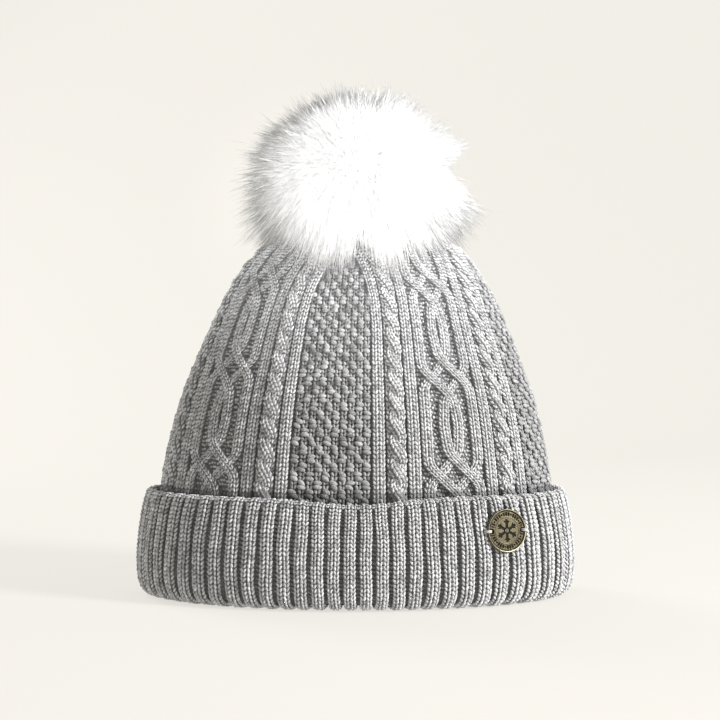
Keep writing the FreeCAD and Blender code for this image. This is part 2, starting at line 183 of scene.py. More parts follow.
class Cloth:
    """A tube of cloth with elliptical sections, sampled so that any point of it can be looked up."""

    ROUND = 720

    def __init__(self, sections, leans=False, step=1.0, sag=None):
        path = smooth_path(sections, step)
        self.height = path[:, 0]
        self.length = float(run_along(path)[-1])
        self.step = self.length / (len(path) - 1)
        self.marks = np.arange(len(path)) * self.step
        angle = np.linspace(0, 2 * np.pi, 2881)
        shares = np.linspace(0, 1, self.ROUND + 1)
        self.round = np.zeros(len(path))
        self.points = np.zeros((len(path), self.ROUND + 1, 3))
        for row, (height, wide, deep) in enumerate(path):
            run = np.hypot(wide * np.cos(angle), deep * np.sin(angle))
            arc = np.concatenate([[0], np.cumsum((run[1:] + run[:-1]) / 2 * np.diff(angle))])
            self.round[row] = arc[-1]
            turn = np.interp(shares * arc[-1], arc, angle)
            middle = POM_X * (height / 180.0) ** 2 if leans else 0.0
            self.points[row, :, 0] = middle + wide * np.sin(turn)
            self.points[row, :, 1] = -deep * np.cos(turn)
            self.points[row, :, 2] = height - (sag(shares, height) if sag else 0.0)
        across = np.gradient(self.points, axis=1)
        across[:, 0] = across[:, -1] = (self.points[:, 1] - self.points[:, -2]) / 2
        normal = np.cross(across, np.gradient(self.points, axis=0))
        self.normals = normal / np.maximum(np.linalg.norm(normal, axis=2, keepdims=True), 1e-9)

    def at(self, share, along, off):
        """The points at shares of the way round, distances along and heights off the cloth."""
        share, along, off = np.broadcast_arrays(share, along, off)
        x = np.mod(share, 1.0) * self.ROUND
        i = np.minimum(x.astype(int), self.ROUND - 1)
        u = (x - i)[..., None]
        y = np.clip(along / self.step, 0, len(self.height) - 1.0001)
        j = y.astype(int)
        v = (y - j)[..., None]

        def mix(grid):
            low = grid[j, i] * (1 - u) + grid[j, i + 1] * u
            high = grid[j + 1, i] * (1 - u) + grid[j + 1, i + 1] * u
            return low * (1 - v) + high * v

        return mix(self.points) + mix(self.normals) * off[..., None]

    def round_at(self, along):
        """The way round the cloth at distances along it."""
        return np.interp(along, self.marks, self.round)

    def along_at_height(self, height):
        """The distance along the cloth where it first reaches a height."""
        return float(np.interp(height, self.height, self.marks))


# --------------------------------------------------------------------------- meshes


def enclosed_volume(points, faces):
    """Six times the volume inside closed faces: negative when they look inwards."""
    total = 0.0
    for group in faces:
        corner = points[np.asarray(group)]
        for k in range(1, corner.shape[1] - 1):
            total += np.einsum("ij,ij->", corner[:, 0], np.cross(corner[:, k], corner[:, k + 1]))
    return total


def corner_uv(uv, faces):
    """The uv of each face corner.  A quad that crosses a seam goes on past the far side of the map."""
    parts = []
    for group in faces:
        place = np.asarray(uv, float)[np.asarray(group)]
        if place.shape[1] == 4:
            crosses = np.ptp(place, axis=1, keepdims=True) > 0.5
            place = place + (crosses & (place < 0.5))
        parts.append(place.reshape(-1, 2))
    return 0.01 + 0.98 * np.concatenate(parts)


def fill_square(place):
    """Places scaled to fill the uv map."""
    low = place.min(axis=0)
    return (place - low) / (place.max(axis=0) - low)


def make_mesh(name, node, points, faces, material, uv=None, facts=None, closed=True):
    """A piece from arrays.

    node is the CAD node that it stands for, or None on the stage.  faces is a list of integer arrays,
    one for each number of corners, and facts are values at the points for the material to read.
    """
    mesh = bpy.data.meshes.new(name)
    points = np.asarray(points, float).reshape(-1, 3)
    if closed and enclosed_volume(points - points.mean(axis=0), faces) < 0:
        faces = [np.asarray(group)[:, ::-1] for group in faces]
    points = np.ascontiguousarray(points * MM, dtype=np.float32)
    mesh.vertices.add(len(points))
    mesh.vertices.foreach_set("co", points.ravel())
    corners = np.concatenate([np.asarray(f).ravel() for f in faces]).astype(np.int32)
    counts = np.concatenate([np.full(len(f), np.asarray(f).shape[1]) for f in faces])
    starts = np.concatenate([[0], np.cumsum(counts)[:-1]]).astype(np.int32)
    mesh.loops.add(len(corners))
    mesh.loops.foreach_set("vertex_index", corners)
    mesh.polygons.add(len(counts))
    mesh.polygons.foreach_set("loop_start", starts)
    mesh.polygons.foreach_set("use_smooth", np.ones(len(counts), bool))
    mesh.update(calc_edges=True)
    for key, values in (facts or {}).items():
        layer = mesh.attributes.new(key, "FLOAT", "POINT")
        layer.data.foreach_set("value", np.asarray(values, np.float32).ravel())
    if uv is not None:
        layer = mesh.uv_layers.new(name="OFBake")
        layer.data.foreach_set("uv", corner_uv(uv, faces).astype(np.float32).ravel())
    mesh.validate()
    mesh.materials.append(material)
    piece = bpy.data.objects.new(name, mesh)
    bpy.context.scene.collection.objects.link(piece)
    if node:
        body, slot = PLACES[node]
        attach(piece, body)
        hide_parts(node)
    return piece


def grid_faces(rows, columns, wrap=False, first=0):
    """Quads of a grid of points.  wrap closes it across its columns."""
    r = np.arange(rows - 1)[:, None]
    c = np.arange(columns if wrap else columns - 1)[None, :]
    right = (c + 1) % columns
    quads = np.stack(
        [r * columns + c, r * columns + right, (r + 1) * columns + right, (r + 1) * columns + c],
        axis=-1,
    )
    return quads.reshape(-1, 4) + first


def repeat_faces(faces, number, each):
    """The faces of one shape over and over, for a number of shapes of so many points each."""
    first = (np.arange(number) * each)[:, None, None]
    return (np.asarray(faces)[None] + first).reshape(-1, np.shape(faces)[1])


def wrapped_piece(name, node, points, material, facts=None, ends="open"):
    """A piece from a grid of points that closes across its columns.

    ends says what its first and last rows do: stay "open", join into a "ring" or get "caps".
    """
    rows, columns = points.shape[:2]
    faces = [grid_faces(rows, columns, wrap=True)]
    c = np.arange(columns)
    last = (rows - 1) * columns + c
    if ends == "ring":
        faces.append(np.stack([last, np.roll(last, -1), np.roll(c, -1), c], axis=1))
    elif ends == "caps":
        faces += [c[None, ::-1], last[None, :]]
    uv = np.stack(np.broadcast_arrays(c / columns, np.arange(rows)[:, None] / rows), axis=-1)
    return make_mesh(name, node, points, faces, material, uv.reshape(-1, 2), facts)


def weld(piece):
    """Join the first and last rows of a rolled-up grid, which lie on the same points."""
    work = bmesh.new()
    work.from_mesh(piece.data)
    bmesh.ops.remove_doubles(work, verts=work.verts, dist=1e-7)
    work.to_mesh(piece.data)
    work.free()


def lathe(name, node, profile, material, sides=96, wobble=None):
    """A piece turned about the pom's axis from (radius, height) points."""
    angle = full_turn(sides)
    radius, height = np.repeat(np.array(profile, float).T[:, :, None], sides, axis=2)
    if wobble:
        radius, height = wobble(radius, height, angle[None, :])
    return wrapped_piece(name, node, ring_path(radius, height, angle), material)


def ring_path(radius, height, angle):
    """Points of a ring about the pom's axis."""
    return np.stack([POM_X + radius * np.cos(angle), radius * np.sin(angle), height], axis=-1)


def tube(name, node, path, radius, material, sides, closed, twist=None):
    """A round cord along a path of points.  twist is the strands that wind round it, pitch and depth."""
    path = np.asarray(path, float)
    ahead = np.roll(path, -1, axis=0) - np.roll(path, 1, axis=0)
    if not closed:
        ahead[0], ahead[-1] = path[1] - path[0], path[-1] - path[-2]
    ahead /= np.linalg.norm(ahead, axis=1, keepdims=True)
    side = np.cross(ahead, [0, 0, 1.0])
    side[np.linalg.norm(side, axis=1) < 1e-3] = [1.0, 0, 0]
    side /= np.linalg.norm(side, axis=1, keepdims=True)
    up = np.cross(side, ahead)
    angle = full_turn(sides)
    size = np.full((len(path), sides), float(radius))
    if twist:
        strands, pitch, depth = twist
        phase = strands * (angle[None, :] + 2 * np.pi * run_along(path)[:, None] / pitch)
        size *= 1 - depth * (0.5 - 0.5 * np.cos(phase)) ** 2
    points = (
        path[:, None, :]
        + side[:, None, :] * (size * np.cos(angle))[..., None]
        + up[:, None, :] * (size * np.sin(angle))[..., None]
    )
    return wrapped_piece(name, node, points, material, ends="ring" if closed else "caps")


# --------------------------------------------------------------------------- stitches


class Yarn:
    """Gathers plump yarn lobes, each a spindle that lies on the cloth, and makes one mesh of them."""

    FIELDS = ("share", "along", "off", "angle", "half_length", "half_width", "half_thick", "tilt")

    def __init__(self):
        self.lobes = {key: [] for key in self.FIELDS}

    def add(self, **values):
        arrays = np.broadcast_arrays(*[np.asarray(values[key], float) for key in self.FIELDS])
        for key, array in zip(self.FIELDS, arrays):
            self.lobes[key].append(array.ravel())

    def mesh(self, cloth, name, node, material, seed, sides=6, rings=5, painted_shade_at=-99.0):
        """The lobes as one mesh on a cloth.  Sunk stitches are painted darker as shade, and a line across
        the cloth gets a painted shadow.
        """
        lobes = {key: np.concatenate(parts)[:, None] for key, parts in self.lobes.items()}
        number = len(lobes["share"])
        rng = np.random.default_rng(seed)
        for key, wander in (("angle", 0.06), ("off", 0.05), ("along", 0.07)):
            lobes[key] = lobes[key] + rng.normal(0, wander, (number, 1))
        swell = 1 + rng.normal(0, 0.06, (number, 1))
        # painted shade: stitches that lie below the cloth's usual level are painted darker, as if in
        # shadow; the rest of the tone is each stitch's own
        tone_and_painted_light = rng.normal(0, 1, (number, 1)) + 1.8 * np.minimum(lobes["off"] + 1.6, 0)
        # painted shadow: a dark line across the crown just above the cuff's top edge
        tone_and_painted_light -= 4.5 * np.clip(2.2 - np.abs(lobes["along"] - painted_shade_at) / 1.2, 0, 1)
        s = np.linspace(-0.86, 0.86, rings)
        size = (1 - np.abs(s) ** 2.4) ** 0.62
        turn = full_turn(sides)
        side = np.concatenate([[0], (size[:, None] * np.cos(turn)).ravel(), [0]])
        rise = np.concatenate([[0], (size[:, None] * np.sin(turn)).ravel(), [0]])
        run = np.concatenate([[-1], np.repeat(s, sides), [1]])
        x = side * lobes["half_width"] * swell
        y = run * lobes["half_length"]
        off = lobes["off"] + rise * lobes["half_thick"] * swell - run * lobes["tilt"]
        right = x * np.cos(lobes["angle"]) + y * np.sin(lobes["angle"])
        ahead = -x * np.sin(lobes["angle"]) + y * np.cos(lobes["angle"])
        along = lobes["along"] + ahead
        share = lobes["share"] + right / cloth.round_at(lobes["along"])
        points = cloth.at(share, along, off)
        each = rings * sides + 2
        quads = grid_faces(rings, sides, wrap=True, first=1)
        c = np.arange(sides)
        low = np.stack([np.zeros(sides, int), 1 + (c + 1) % sides, 1 + c], axis=1)
        end = 1 + (rings - 1) * sides
        high = np.stack([end + c, end + (c + 1) % sides, np.full(sides, each - 1)], axis=1)
        ends = np.concatenate([low, high])
        faces = [repeat_faces(quads, number, each), repeat_faces(ends, number, each)]
        place = np.stack([share - math.floor(float(np.min(share))), along], axis=-1).reshape(-1, 2)
        facts = {"tone_and_painted_light": np.repeat(tone_and_painted_light[:, 0], each)}
        return make_mesh(name, node, points, faces, material, fill_square(place), facts)


def knit_column(yarn, cloth, share, along, off, width, slant=0.0, offset=0.0, roll=0.0):
    """V stitches of a column.

    slant is the column's own lean, offset its place in its band, and roll lets the band's edges fall.
    """
    for side in (-1.0, 1.0):
        out = side * 0.245 * width
        yarn.add(
            share=share + out * np.cos(slant) / cloth.round_at(along),
            along=along - out * np.sin(slant),
            off=off - roll * ((offset + out) / BAND_HALF) ** 2,
            angle=slant + side * np.arctan2(0.20 * width, 0.80 * ROW),
            half_length=0.60 * ROW,
            half_width=0.198 * width,
            half_thick=0.168 * width + 0.05,
            tilt=0.36,
        )


def purl_bumps(yarn, share, along, off, half_length, turned, thick, tall):
    """Rounded purl bumps that lie across a column, turned a little."""
    yarn.add(
        share=share,
        along=along,
        off=off,
        angle=np.pi / 2 + turned,
        half_length=half_length,
        half_width=tall,
        half_thick=thick,
        tilt=0.0,
    )


# --------------------------------------------------------------------------- materials

YARN_SURFACE = {
    "Roughness": 0.92,
    "Specular IOR Level": 0.2,
    "Sheen Weight": 0.25,
    "Sheen Roughness": 0.5,
}


class Look:
    """A material being put together: a shader and short ways to feed its sockets."""

    def __init__(self, name, surface):
        self.material = bpy.data.materials.new(name)
        self.material.use_nodes = True
        self.nodes = self.material.node_tree.nodes
        self.link = self.material.node_tree.links.new
        self.shader = self.nodes["Principled BSDF"]
        for socket, value in surface.items():
            self.shader.inputs[socket].default_value = value

    def node(self, kind, output, feeds, **settings):
        """The output of a new node, whose sockets get the values or links in feeds."""
        node = self.nodes.new("ShaderNode" + kind)
        for key, value in settings.items():
            setattr(node, key, value)
        for socket, value in feeds.items():
            if isinstance(value, bpy.types.NodeSocket):
                self.link(value, node.inputs[socket])
            else:
                node.inputs[socket].default_value = value
        return node.outputs[output]

    def place(self):
        return self.node("TexCoord", "Object", {})

    def height(self):
        return self.node("SeparateXYZ", "Z", {0: self.place()})

    def fact(self, name):
        return self.node("Attribute", "Fac", {}, attribute_name=name)

    def noise(self, scale, detail=3.0, rough=0.6):
        feeds = {"Vector": self.place(), "Scale": scale, "Detail": detail, "Roughness": rough}
        return self.node("TexNoise", "Fac", feeds)

    def math(self, kind, *values, clamp=False):
        return self.node("Math", 0, dict(enumerate(values)), operation=kind, use_clamp=clamp)

    def colour(self, value, *stops):
        """The base colour from a ramp of (place, colour) stops."""
        ramp = self.nodes.new("ShaderNodeValToRGB")
        elements = ramp.color_ramp.elements
        while len(elements) < len(stops):
            elements.new(0.5)
        for element, (place, colour) in zip(elements, stops):
            element.position = place
            element.color = (*colour, 1)
        self.link(value, ramp.inputs["Fac"])
        self.link(ramp.outputs["Color"], self.shader.inputs["Base Color"])

    def bump(self, height, strength, distance):
        feeds = {"Height": height, "Strength": strength, "Distance": distance}
        self.link(self.node("Bump", "Normal", feeds), self.shader.inputs["Normal"])


def grey(value):
    return (value, value, value)


def yarn_material(name, dark, light):
    """Marled grey yarn: flecks of lighter and darker fibre, a tone for each stitch that also holds painted
    shade, matt with sheen.
    """
    look = Look(name, YARN_SURFACE)
    toned = look.math("MULTIPLY_ADD", look.fact("tone_and_painted_light"), 0.05, look.noise(2100, 2.0))
    both = look.math("MULTIPLY_ADD", look.noise(260, 2.0), 0.35, toned)
    look.colour(both, (0.47, dark), (0.88, light))
    look.bump(look.noise(3400, 3.0, 0.7), 0.5, 0.0004)
    return look.material


def lining_material():
    """The wrong side of the knit: rows of purl bumps that run round the hat."""
    look = Look("yarn_marl_inside", YARN_SURFACE)
    patch = look.noise(700, 2.0)
    rows = look.math("SINE", look.math("MULTIPLY", look.height(), 2 * math.pi / (ROW * MM)))
    toned = look.math("MULTIPLY_ADD", rows, 0.13, look.noise(2100, 2.0))
    both = look.math("MULTIPLY_ADD", patch, 0.35, toned)
    look.colour(both, (0.47, (0.14, 0.141, 0.146)), (0.88, (0.58, 0.583, 0.595)))
    look.bump(look.math("MULTIPLY_ADD", patch, 1.5, rows), 0.8, 0.0005)
    return look.material


def cloth_material(name, dark, light, scale, bump_depth, roughness=0.95, sheen=0.3):
    """A soft matt cloth with fine flecks."""
    look = Look(name, {**YARN_SURFACE, "Roughness": roughness, "Sheen Weight": sheen})
    fine = look.noise(scale, 4.0, 0.65)
    look.colour(fine, (0.3, dark), (0.7, light))
    look.bump(fine, 0.7, bump_depth)
    return look.material


def metal_material(name, dark, light, roughness):
    """Metal with tarnish in fine patches and brushed roughness."""
    look = Look(name, {"Metallic": 1.0})
    patches = look.noise(900, 5.0, 0.7)
    look.colour(patches, (0.35, dark), (0.65, light))
    rough = look.math("MULTIPLY_ADD", patches, 0.21, roughness, clamp=True)
    look.link(rough, look.shader.inputs["Roughness"])
    look.bump(patches, 0.25, 0.0001)
    return look.material


def fur_material():
    """Pile that is white along most of its length and grey at the tips; each strand's tone, painted light
    included, moves where the grey begins.
    """
    look = Look("fur_pile", {"Roughness": 0.6, "Specular IOR Level": 0.3})
    reach = look.math("MULTIPLY_ADD", look.fact("tone_and_painted_light"), 0.07, look.fact("reach"))
    shades = ((0.0, 0.90), (0.35, 0.96), (0.70, 0.96), (0.86, 0.72), (1.0, 0.34))
    look.colour(reach, *[(place, grey(value)) for place, value in shades])
    return look.material


def badge_material():
    """Antique brass: bright where it is rubbed, dark in the sunk marks."""
    look = Look("badge_antique_brass", {"Metallic": 0.85})
    grain = look.noise(1800, 4.0, 0.7)
    soft = look.math("MULTIPLY_ADD", grain, 0.5, -0.25)
    worn = look.math("ADD", look.fact("rub"), soft, clamp=True)
    look.colour(
        worn,
        (0.05, (0.006, 0.005, 0.004)),
        (0.35, (0.040, 0.034, 0.019)),
        (0.60, (0.085, 0.073, 0.043)),
        (0.98, (0.42, 0.385, 0.28)),
    )
    look.link(look.math("MULTIPLY_ADD", worn, -0.25, 0.55), look.shader.inputs["Roughness"])
    look.bump(grain, 0.2, 0.00008)
    return look.material


def label_material():
    """White satin with woven lines and a few grey care marks printed across it."""
    look = Look("label_satin", {"Roughness": 0.38, "Sheen Weight": 0.2})
    lines = look.math("SINE", look.math("MULTIPLY", look.height(), 16000))
    look.colour(look.fact("ink"), (0.4, (0.86, 0.86, 0.84)), (0.6, (0.12, 0.12, 0.13)))
    look.bump(lines, 0.3, 0.00004)
    return look.material


KNIT = yarn_material("yarn_marl", (0.18, 0.181, 0.185), (0.765, 0.768, 0.78))
# painted shade: the moss panel's yarn is a darker copy of the marl, for the shade in its sunk panel
KNIT_MOSS_PAINTED_SHADE = yarn_material("yarn_marl_moss_painted_shade", (0.10, 0.101, 0.103), (0.475, 0.477, 0.485))
# painted shade: two much darker copies of the marl for the cloth under the stitches, where shade falls in
# the gaps between them
KNIT_DEEP_PAINTED_SHADE = yarn_material("yarn_marl_deep_painted_shade", (0.06, 0.0605, 0.062), (0.20, 0.202, 0.206))
KNIT_BODY_PAINTED_SHADE = yarn_material("yarn_marl_body_painted_shade", (0.07, 0.0705, 0.073), (0.24, 0.242, 0.247))
LINING = lining_material()
FLEECE = cloth_material("fleece_pile", (0.62, 0.61, 0.59), (0.84, 0.83, 0.81), 900, 0.0008)
FELT = cloth_material("felt_grey", (0.38, 0.38, 0.375), (0.62, 0.62, 0.61), 1500, 0.0005)
PELT = cloth_material("pelt_backing", (0.62, 0.61, 0.58), (0.82, 0.81, 0.78), 1300, 0.0003)
FILLING = cloth_material("filling_fibre", (0.78, 0.78, 0.77), (0.93, 0.93, 0.92), 500, 0.0012)
THREAD = cloth_material("sewing_thread", (0.30, 0.295, 0.285), (0.62, 0.61, 0.59), 4200, 0.0002, 0.6, 0.1)
BRASS = metal_material("snap_antique_brass", (0.22, 0.17, 0.09), (0.52, 0.43, 0.26), 0.28)
STEEL = metal_material("spring_steel", (0.40, 0.40, 0.41), (0.66, 0.66, 0.67), 0.24)
FUR = fur_material()
BADGE = badge_material()
SATIN = label_material()


# --------------------------------------------------------------------------- crown


class Crown(Cloth):
    """The crown's cloth, with four repeats of moss stitch, ribs, rope cables and lattice round it."""

    def __init__(self):
        super().__init__(CROWN_PROFILE, leans=True)
        self.top = self.along_at_height(179.95) - 1.0
        self.arch_top = self.along_at_height(169.0)
        # where the cuff's top edge meets the crown, for a painted shadow line there
        self.painted_cuff_shadow = self.along_at_height(53.0)

    def moss(self, along):
        """The moss panel's share of a repeat: nearly steady, then closing to a point under the pom."""
        heights = [48, 135, 147, 154, 160, 165, 168, 170]
        shares = [0.320, 0.314, 0.290, 0.252, 0.200, 0.130, 0.06, 0.0]
        return np.interp(np.interp(along, self.marks, self.height), heights, shares)

    def share(self, quarter, x, along):
        """The share of the way round of a place x across a repeat, in millimetres at the lower edge."""
        x, along = np.broadcast_arrays(np.asarray(x, float), np.asarray(along, float))
        moss = self.moss(along)
        past = (np.abs(x) - MOSS_WIDTH / 2) / (REPEAT_WIDTH - MOSS_WIDTH)
        outside = np.sign(x) * (moss / 2 + past * (1 - moss))
        local = np.where(past <= 0, x / MOSS_WIDTH * moss, outside)
        return FRONT_SHIFT / BASE_ROUND + (quarter + local) / REPEATS

    def squeeze(self, along):
        """How much narrower the ribs and cables are than at the lower edge."""
        return (1 - self.moss(along)) * self.round_at(along) / REPEATS / (REPEAT_WIDTH - MOSS_WIDTH)


class Band:
    """A band of columns that goes up the crown: its place across a repeat, its level and its spread.

    half and depth are the half width and depth of the rounded body under its stitches.
    """

    half, depth = BAND_HALF, 1.9

    def __init__(self, crown, quarter, x):
        self.crown = crown
        self.quarter = quarter
        self.x = x

    def place(self, t):
        return np.full_like(t, self.x)

    def lift(self, t):
        """The level of the deep cloth beside the ropes, unless a kind of band has its own."""
        return np.full_like(t, -1.35)

    def spread(self, t):
        return np.ones_like(t)

    def slope(self, t):
        """How far the band goes sideways for each millimetre up, at finely spaced distances."""
        return np.gradient(self.place(t), t) * self.crown.squeeze(t)

    def beside(self, t, slant, squeeze, offset):
        """Shares, distances along and width of places at an offset from the band's middle."""
        drawn = squeeze * np.cos(slant) ** 0.7 * self.spread(t)
        side = offset * drawn
        share = self.crown.share(self.quarter, self.place(t), t)
        share = share + side * np.cos(slant) / self.crown.round_at(t)
        return share, t - side * np.sin(slant), drawn

    def knit(self, yarn, offset, width, roll=0.0, seen=-9.0):
        """A column of stitches offset from the band's middle, left out where it lies too deep to see."""
        crown = self.crown
        t = np.linspace(0, crown.top, int(crown.top / 0.1) + 1)
        slope = self.slope(t)
        run = np.concatenate([[0], np.cumsum(np.hypot(np.diff(t), np.diff(t) * slope[1:]))])
        marks = np.interp(np.arange(ROW / 2, run[-1], ROW), run, t)
        slant = np.interp(marks, t, np.arctan(slope))
        squeeze = np.interp(marks, t, crown.squeeze(t))
        share, along, drawn = self.beside(marks, slant, squeeze, offset)
        off = self.lift(marks)
        k = off > seen
        knit_column(yarn, crown, share[k], along[k], off[k], width * drawn[k], slant[k], offset, roll)

    def body(self):
        """The rounded body as a grid of points, each with its share and distance along."""
        t = np.arange(0, self.crown.top, 1.4)
        across = np.array([-1.0, -0.86, -0.5, 0.0, 0.5, 0.86, 1.0])[:, None]
        drop = np.array([self.depth, 0.8, 0.30, 0.22, 0.30, 0.8, self.depth])[:, None]
        slant = np.arctan(self.slope(t))
        share, along, _ = self.beside(t, slant, self.crown.squeeze(t), across * self.half)
        level = self.lift(t) - drop
        level = np.where(np.abs(across) > 0.99, np.minimum(level, -2.0), level)
        points = self.crown.at(share, along, level)
        grid = np.concatenate([points, share[..., None], along[..., None]], axis=-1)
        return np.swapaxes(grid, 0, 1)


class Rib(Band):
    """A two-column rib.  Those beside the moss rise as it narrows under the pom."""

    def lift(self, t):
        rise = 0.75 if abs(self.x) == RIB_NEAR else 0.0
        return -0.10 + rise * np.clip((t - self.crown.arch_top + 28) / 26, 0, 1)


class Rope(Band):
    """One of the two strands that wind round each other in a rope cable."""

    half, depth = 2.5, 1.5

    def __init__(self, crown, quarter, x, phase):
        super().__init__(crown, quarter, x)
        self.phase = phase

    def turn(self, t):
        return np.pi * (t / ROPE_PERIOD + self.phase)

    def place(self, t):
        return self.x + 2.3 * np.cos(self.turn(t))

    def lift(self, t):
        return 0.40 + 1.15 * np.sin(self.turn(t))

    def spread(self, t):
        return 1.0 + 0.42 * np.clip(np.sin(self.turn(t)), 0, 1)


class Braid(Band):
    """One of the four bands that braid over the lattice panel.  track is its first place, 0 to 3."""

    def __init__(self, crown, quarter, track):
        super().__init__(crown, quarter, LATTICE)
        outer, inner = 12.9, 3.15
        spots = (-outer, -inner, inner, outer)
        marks, places = [], []
        # in each period the inner bands cross and go out, and the outer ones come in and cross
        for period in range(-2, 5):
            start = LATTICE_STARTS[quarter] + period * LATTICE_PERIOD
            middle = start + LATTICE_PERIOD / 2
            spot = spots[track]
            is_inner = track in (1, 2)
            bow = 0.7 * np.sign(spot) if is_inner else 0.0
            marks += [start - 13.0, start, start + 13.0]
            places += [spot - bow, spot + bow, spot - bow]
            track = (2, 3, 0, 1)[track]
            if is_inner:
                far = np.sign(spots[track])
                marks += [middle - 8.0, middle, middle + 5.0]
                places += [0.0, 8.0 * far, outer * far]
            else:
                far = np.sign(spot)
                marks += [middle - 5.0, middle, middle + 8.0]
                places += [outer * far, 8.0 * far, 0.0]
        # a bell-shaped kernel rounds the corners of the way
        self.fine = np.arange(marks[0], marks[-1], 0.25)
        kernel = np.exp(-0.5 * (np.arange(-22, 23) * 0.25 / 1.9) ** 2)
        self.way = np.convolve(np.interp(self.fine, marks, places), kernel / kernel.sum(), "same")

    def place(self, t):
        return self.x + np.interp(t, self.fine, self.way)

    def lift(self, t):
        slope = np.gradient(self.place(t), t)
        return 0.05 + 0.8 * np.clip(-slope, 0, 1) - 0.5 * np.clip(slope, 0, 1)


def crown_ground(crown):
    """The body under the stitches, from the outside over the top hole and down the inside."""
    last = crown.length - 2.6
    rows = np.append(np.arange(0, last, 1.5), last)[:, None]
    columns = 320
    share = np.arange(columns)[None, :] / columns
    points = np.concatenate([crown.at(share, rows, -2.25), crown.at(share, rows[::-1], -3.5)])
    # the outside of the ground is painted dark as shade between the stitches
    body = wrapped_piece("crown_ground", "knit_crown", points, KNIT_DEEP_PAINTED_SHADE, ends="ring")
    body.data.materials.append(LINING)
    inside = np.arange(len(body.data.polygons)) >= len(rows) * columns
    body.data.polygons.foreach_set("material_index", inside.astype(np.int32))


def moss_panel(crown, quarter, yarn, rng):
    """Moss stitch: purl bumps and sunk knit stitches change places every two rows and every column.

    It sinks further as it narrows under the pom, and at its edges.
    """
    row = np.arange(int(crown.arch_top / ROW))
    t = (row + 0.5) * ROW
    squeeze = crown.round_at(t) / BASE_ROUND
    half = crown.moss(t) * crown.round_at(t) / REPEATS / 2
    middle = crown.share(quarter, 0.0, t)
    rise = np.clip((t - crown.along_at_height(150)) / 20, 0, 1)
    for column in range(-5, 5):
        x = (column + 0.5) * MOSS_COLUMN * squeeze
        share = middle + x / crown.round_at(t)
        edge = np.clip(1 - (half - np.abs(x)) / 2.5, 0, 1)
        sink = -1.2 - 1.0 * rise - 0.4 * edge
        in_panel = np.abs(x) < half + 0.2
        is_bump = (row // 2 + column) % 2 == 0
        k = in_panel & is_bump
        number = np.count_nonzero(k)
        purl_bumps(
            yarn,
            share[k] + rng.normal(0, 0.25, number) / crown.round_at(t[k]),
            t[k],
            sink[k] + 0.55 + rng.normal(0, 0.15, number),
            half_length=2.15 * squeeze[k],
            turned=0.42 + rng.normal(0, 0.20, number),
            thick=0.95,
            tall=1.22,
        )
        k = in_panel & ~is_bump
        knit_column(yarn, crown, share[k], t[k], sink[k] + 0.02, MOSS_COLUMN * 0.95 * squeeze[k])


def rib_panels(crown, quarter, yarn):
    """The four ribs of a repeat.  Returns their bodies."""
    ribs = [Rib(crown, quarter, x) for x in (-RIB_FAR, -RIB_NEAR, RIB_NEAR, RIB_FAR)]
    for rib in ribs:
        for offset in (-1.6, 1.6):
            rib.knit(yarn, offset, 3.2, roll=0.8)
    return [rib.body() for rib in ribs]


def rope_panels(crown, quarter, yarn):
    """The two rope cables of a repeat, and the cloth beside them.  Returns the strands' bodies."""
    bodies = []
    for x in (-ROPE, ROPE):
        for phase in (0.0, 1.0):
            strand = Rope(crown, quarter, x, phase)
            for offset in (-1.3, 1.3):
                strand.knit(yarn, offset, 2.9, roll=2.3, seen=-0.45)
            bodies.append(strand.body())
        for side in (-3.55, 3.55):
            Band(crown, quarter, x + side).knit(yarn, 0.0, 2.5)
    return bodies


def lattice_panel(crown, quarter, yarn, rng):
    """Four bands that braid over a ground of purl bumps.  Returns the bands' bodies."""
    braids = [Braid(crown, quarter, track) for track in range(4)]
    for braid in braids:
        for offset in (-WALE / 2, WALE / 2):
            braid.knit(yarn, offset, WALE, roll=0.8)
    row = np.arange(int(crown.top / ROW))
    t = (row + 0.5) * ROW
    squeeze = crown.squeeze(t)
    for column in range(-9, 10):
        x = LATTICE + column * 1.65 + np.where(row % 2 == 0, 0.0, 0.8) - 0.4
        share = crown.share(quarter, x, t) + rng.normal(0, 0.15, len(t)) / crown.round_at(t)
        along = t + rng.normal(0, 0.28, len(t))
        purl_bumps(yarn, share, along, -2.0, 0.80 * squeeze, turned=0.55, thick=0.45, tall=0.66)
    return [braid.body() for braid in braids]


def band_bodies(name, bodies):
    """One mesh of the bodies of all bands of a repeat."""
    grids = np.stack(bodies)
    number, rows, columns = grids.shape[:3]
    faces = [repeat_faces(grid_faces(rows, columns), number, rows * columns)]
    uv = fill_square(grids[..., 3:].reshape(-1, 2))
    # the bands' bodies are painted dark as shade under their stitches
    make_mesh(name, "knit_crown", grids[..., :3], faces, KNIT_BODY_PAINTED_SHADE, uv, closed=False)


def knit_crown():
    crown = Crown()
    rng = np.random.default_rng(3)
    crown_ground(crown)
    for quarter in range(REPEATS):
        moss, cables, lattice = Yarn(), Yarn(), Yarn()
        moss_panel(crown, quarter, moss, rng)
        bodies = rib_panels(crown, quarter, cables) + rope_panels(crown, quarter, cables)
        bodies += lattice_panel(crown, quarter, lattice, rng)
        # the moss panel gets the darker yarn, with painted shade in it
        for kind, yarn, material, seed, rings in (
            ("moss", moss, KNIT_MOSS_PAINTED_SHADE, 100, 5),
            ("cables", cables, KNIT, 200, 4),
            ("lattice", lattice, KNIT, 250, 4),
        ):
            name = f"crown_{kind}_{quarter}"
            yarn.mesh(crown, name, "knit_crown", material, seed + quarter, 6, rings, crown.painted_cuff_shadow)
        band_bodies(f"crown_bands_{quarter}", bodies)


# --------------------------------------------------------------------------- cuff and band


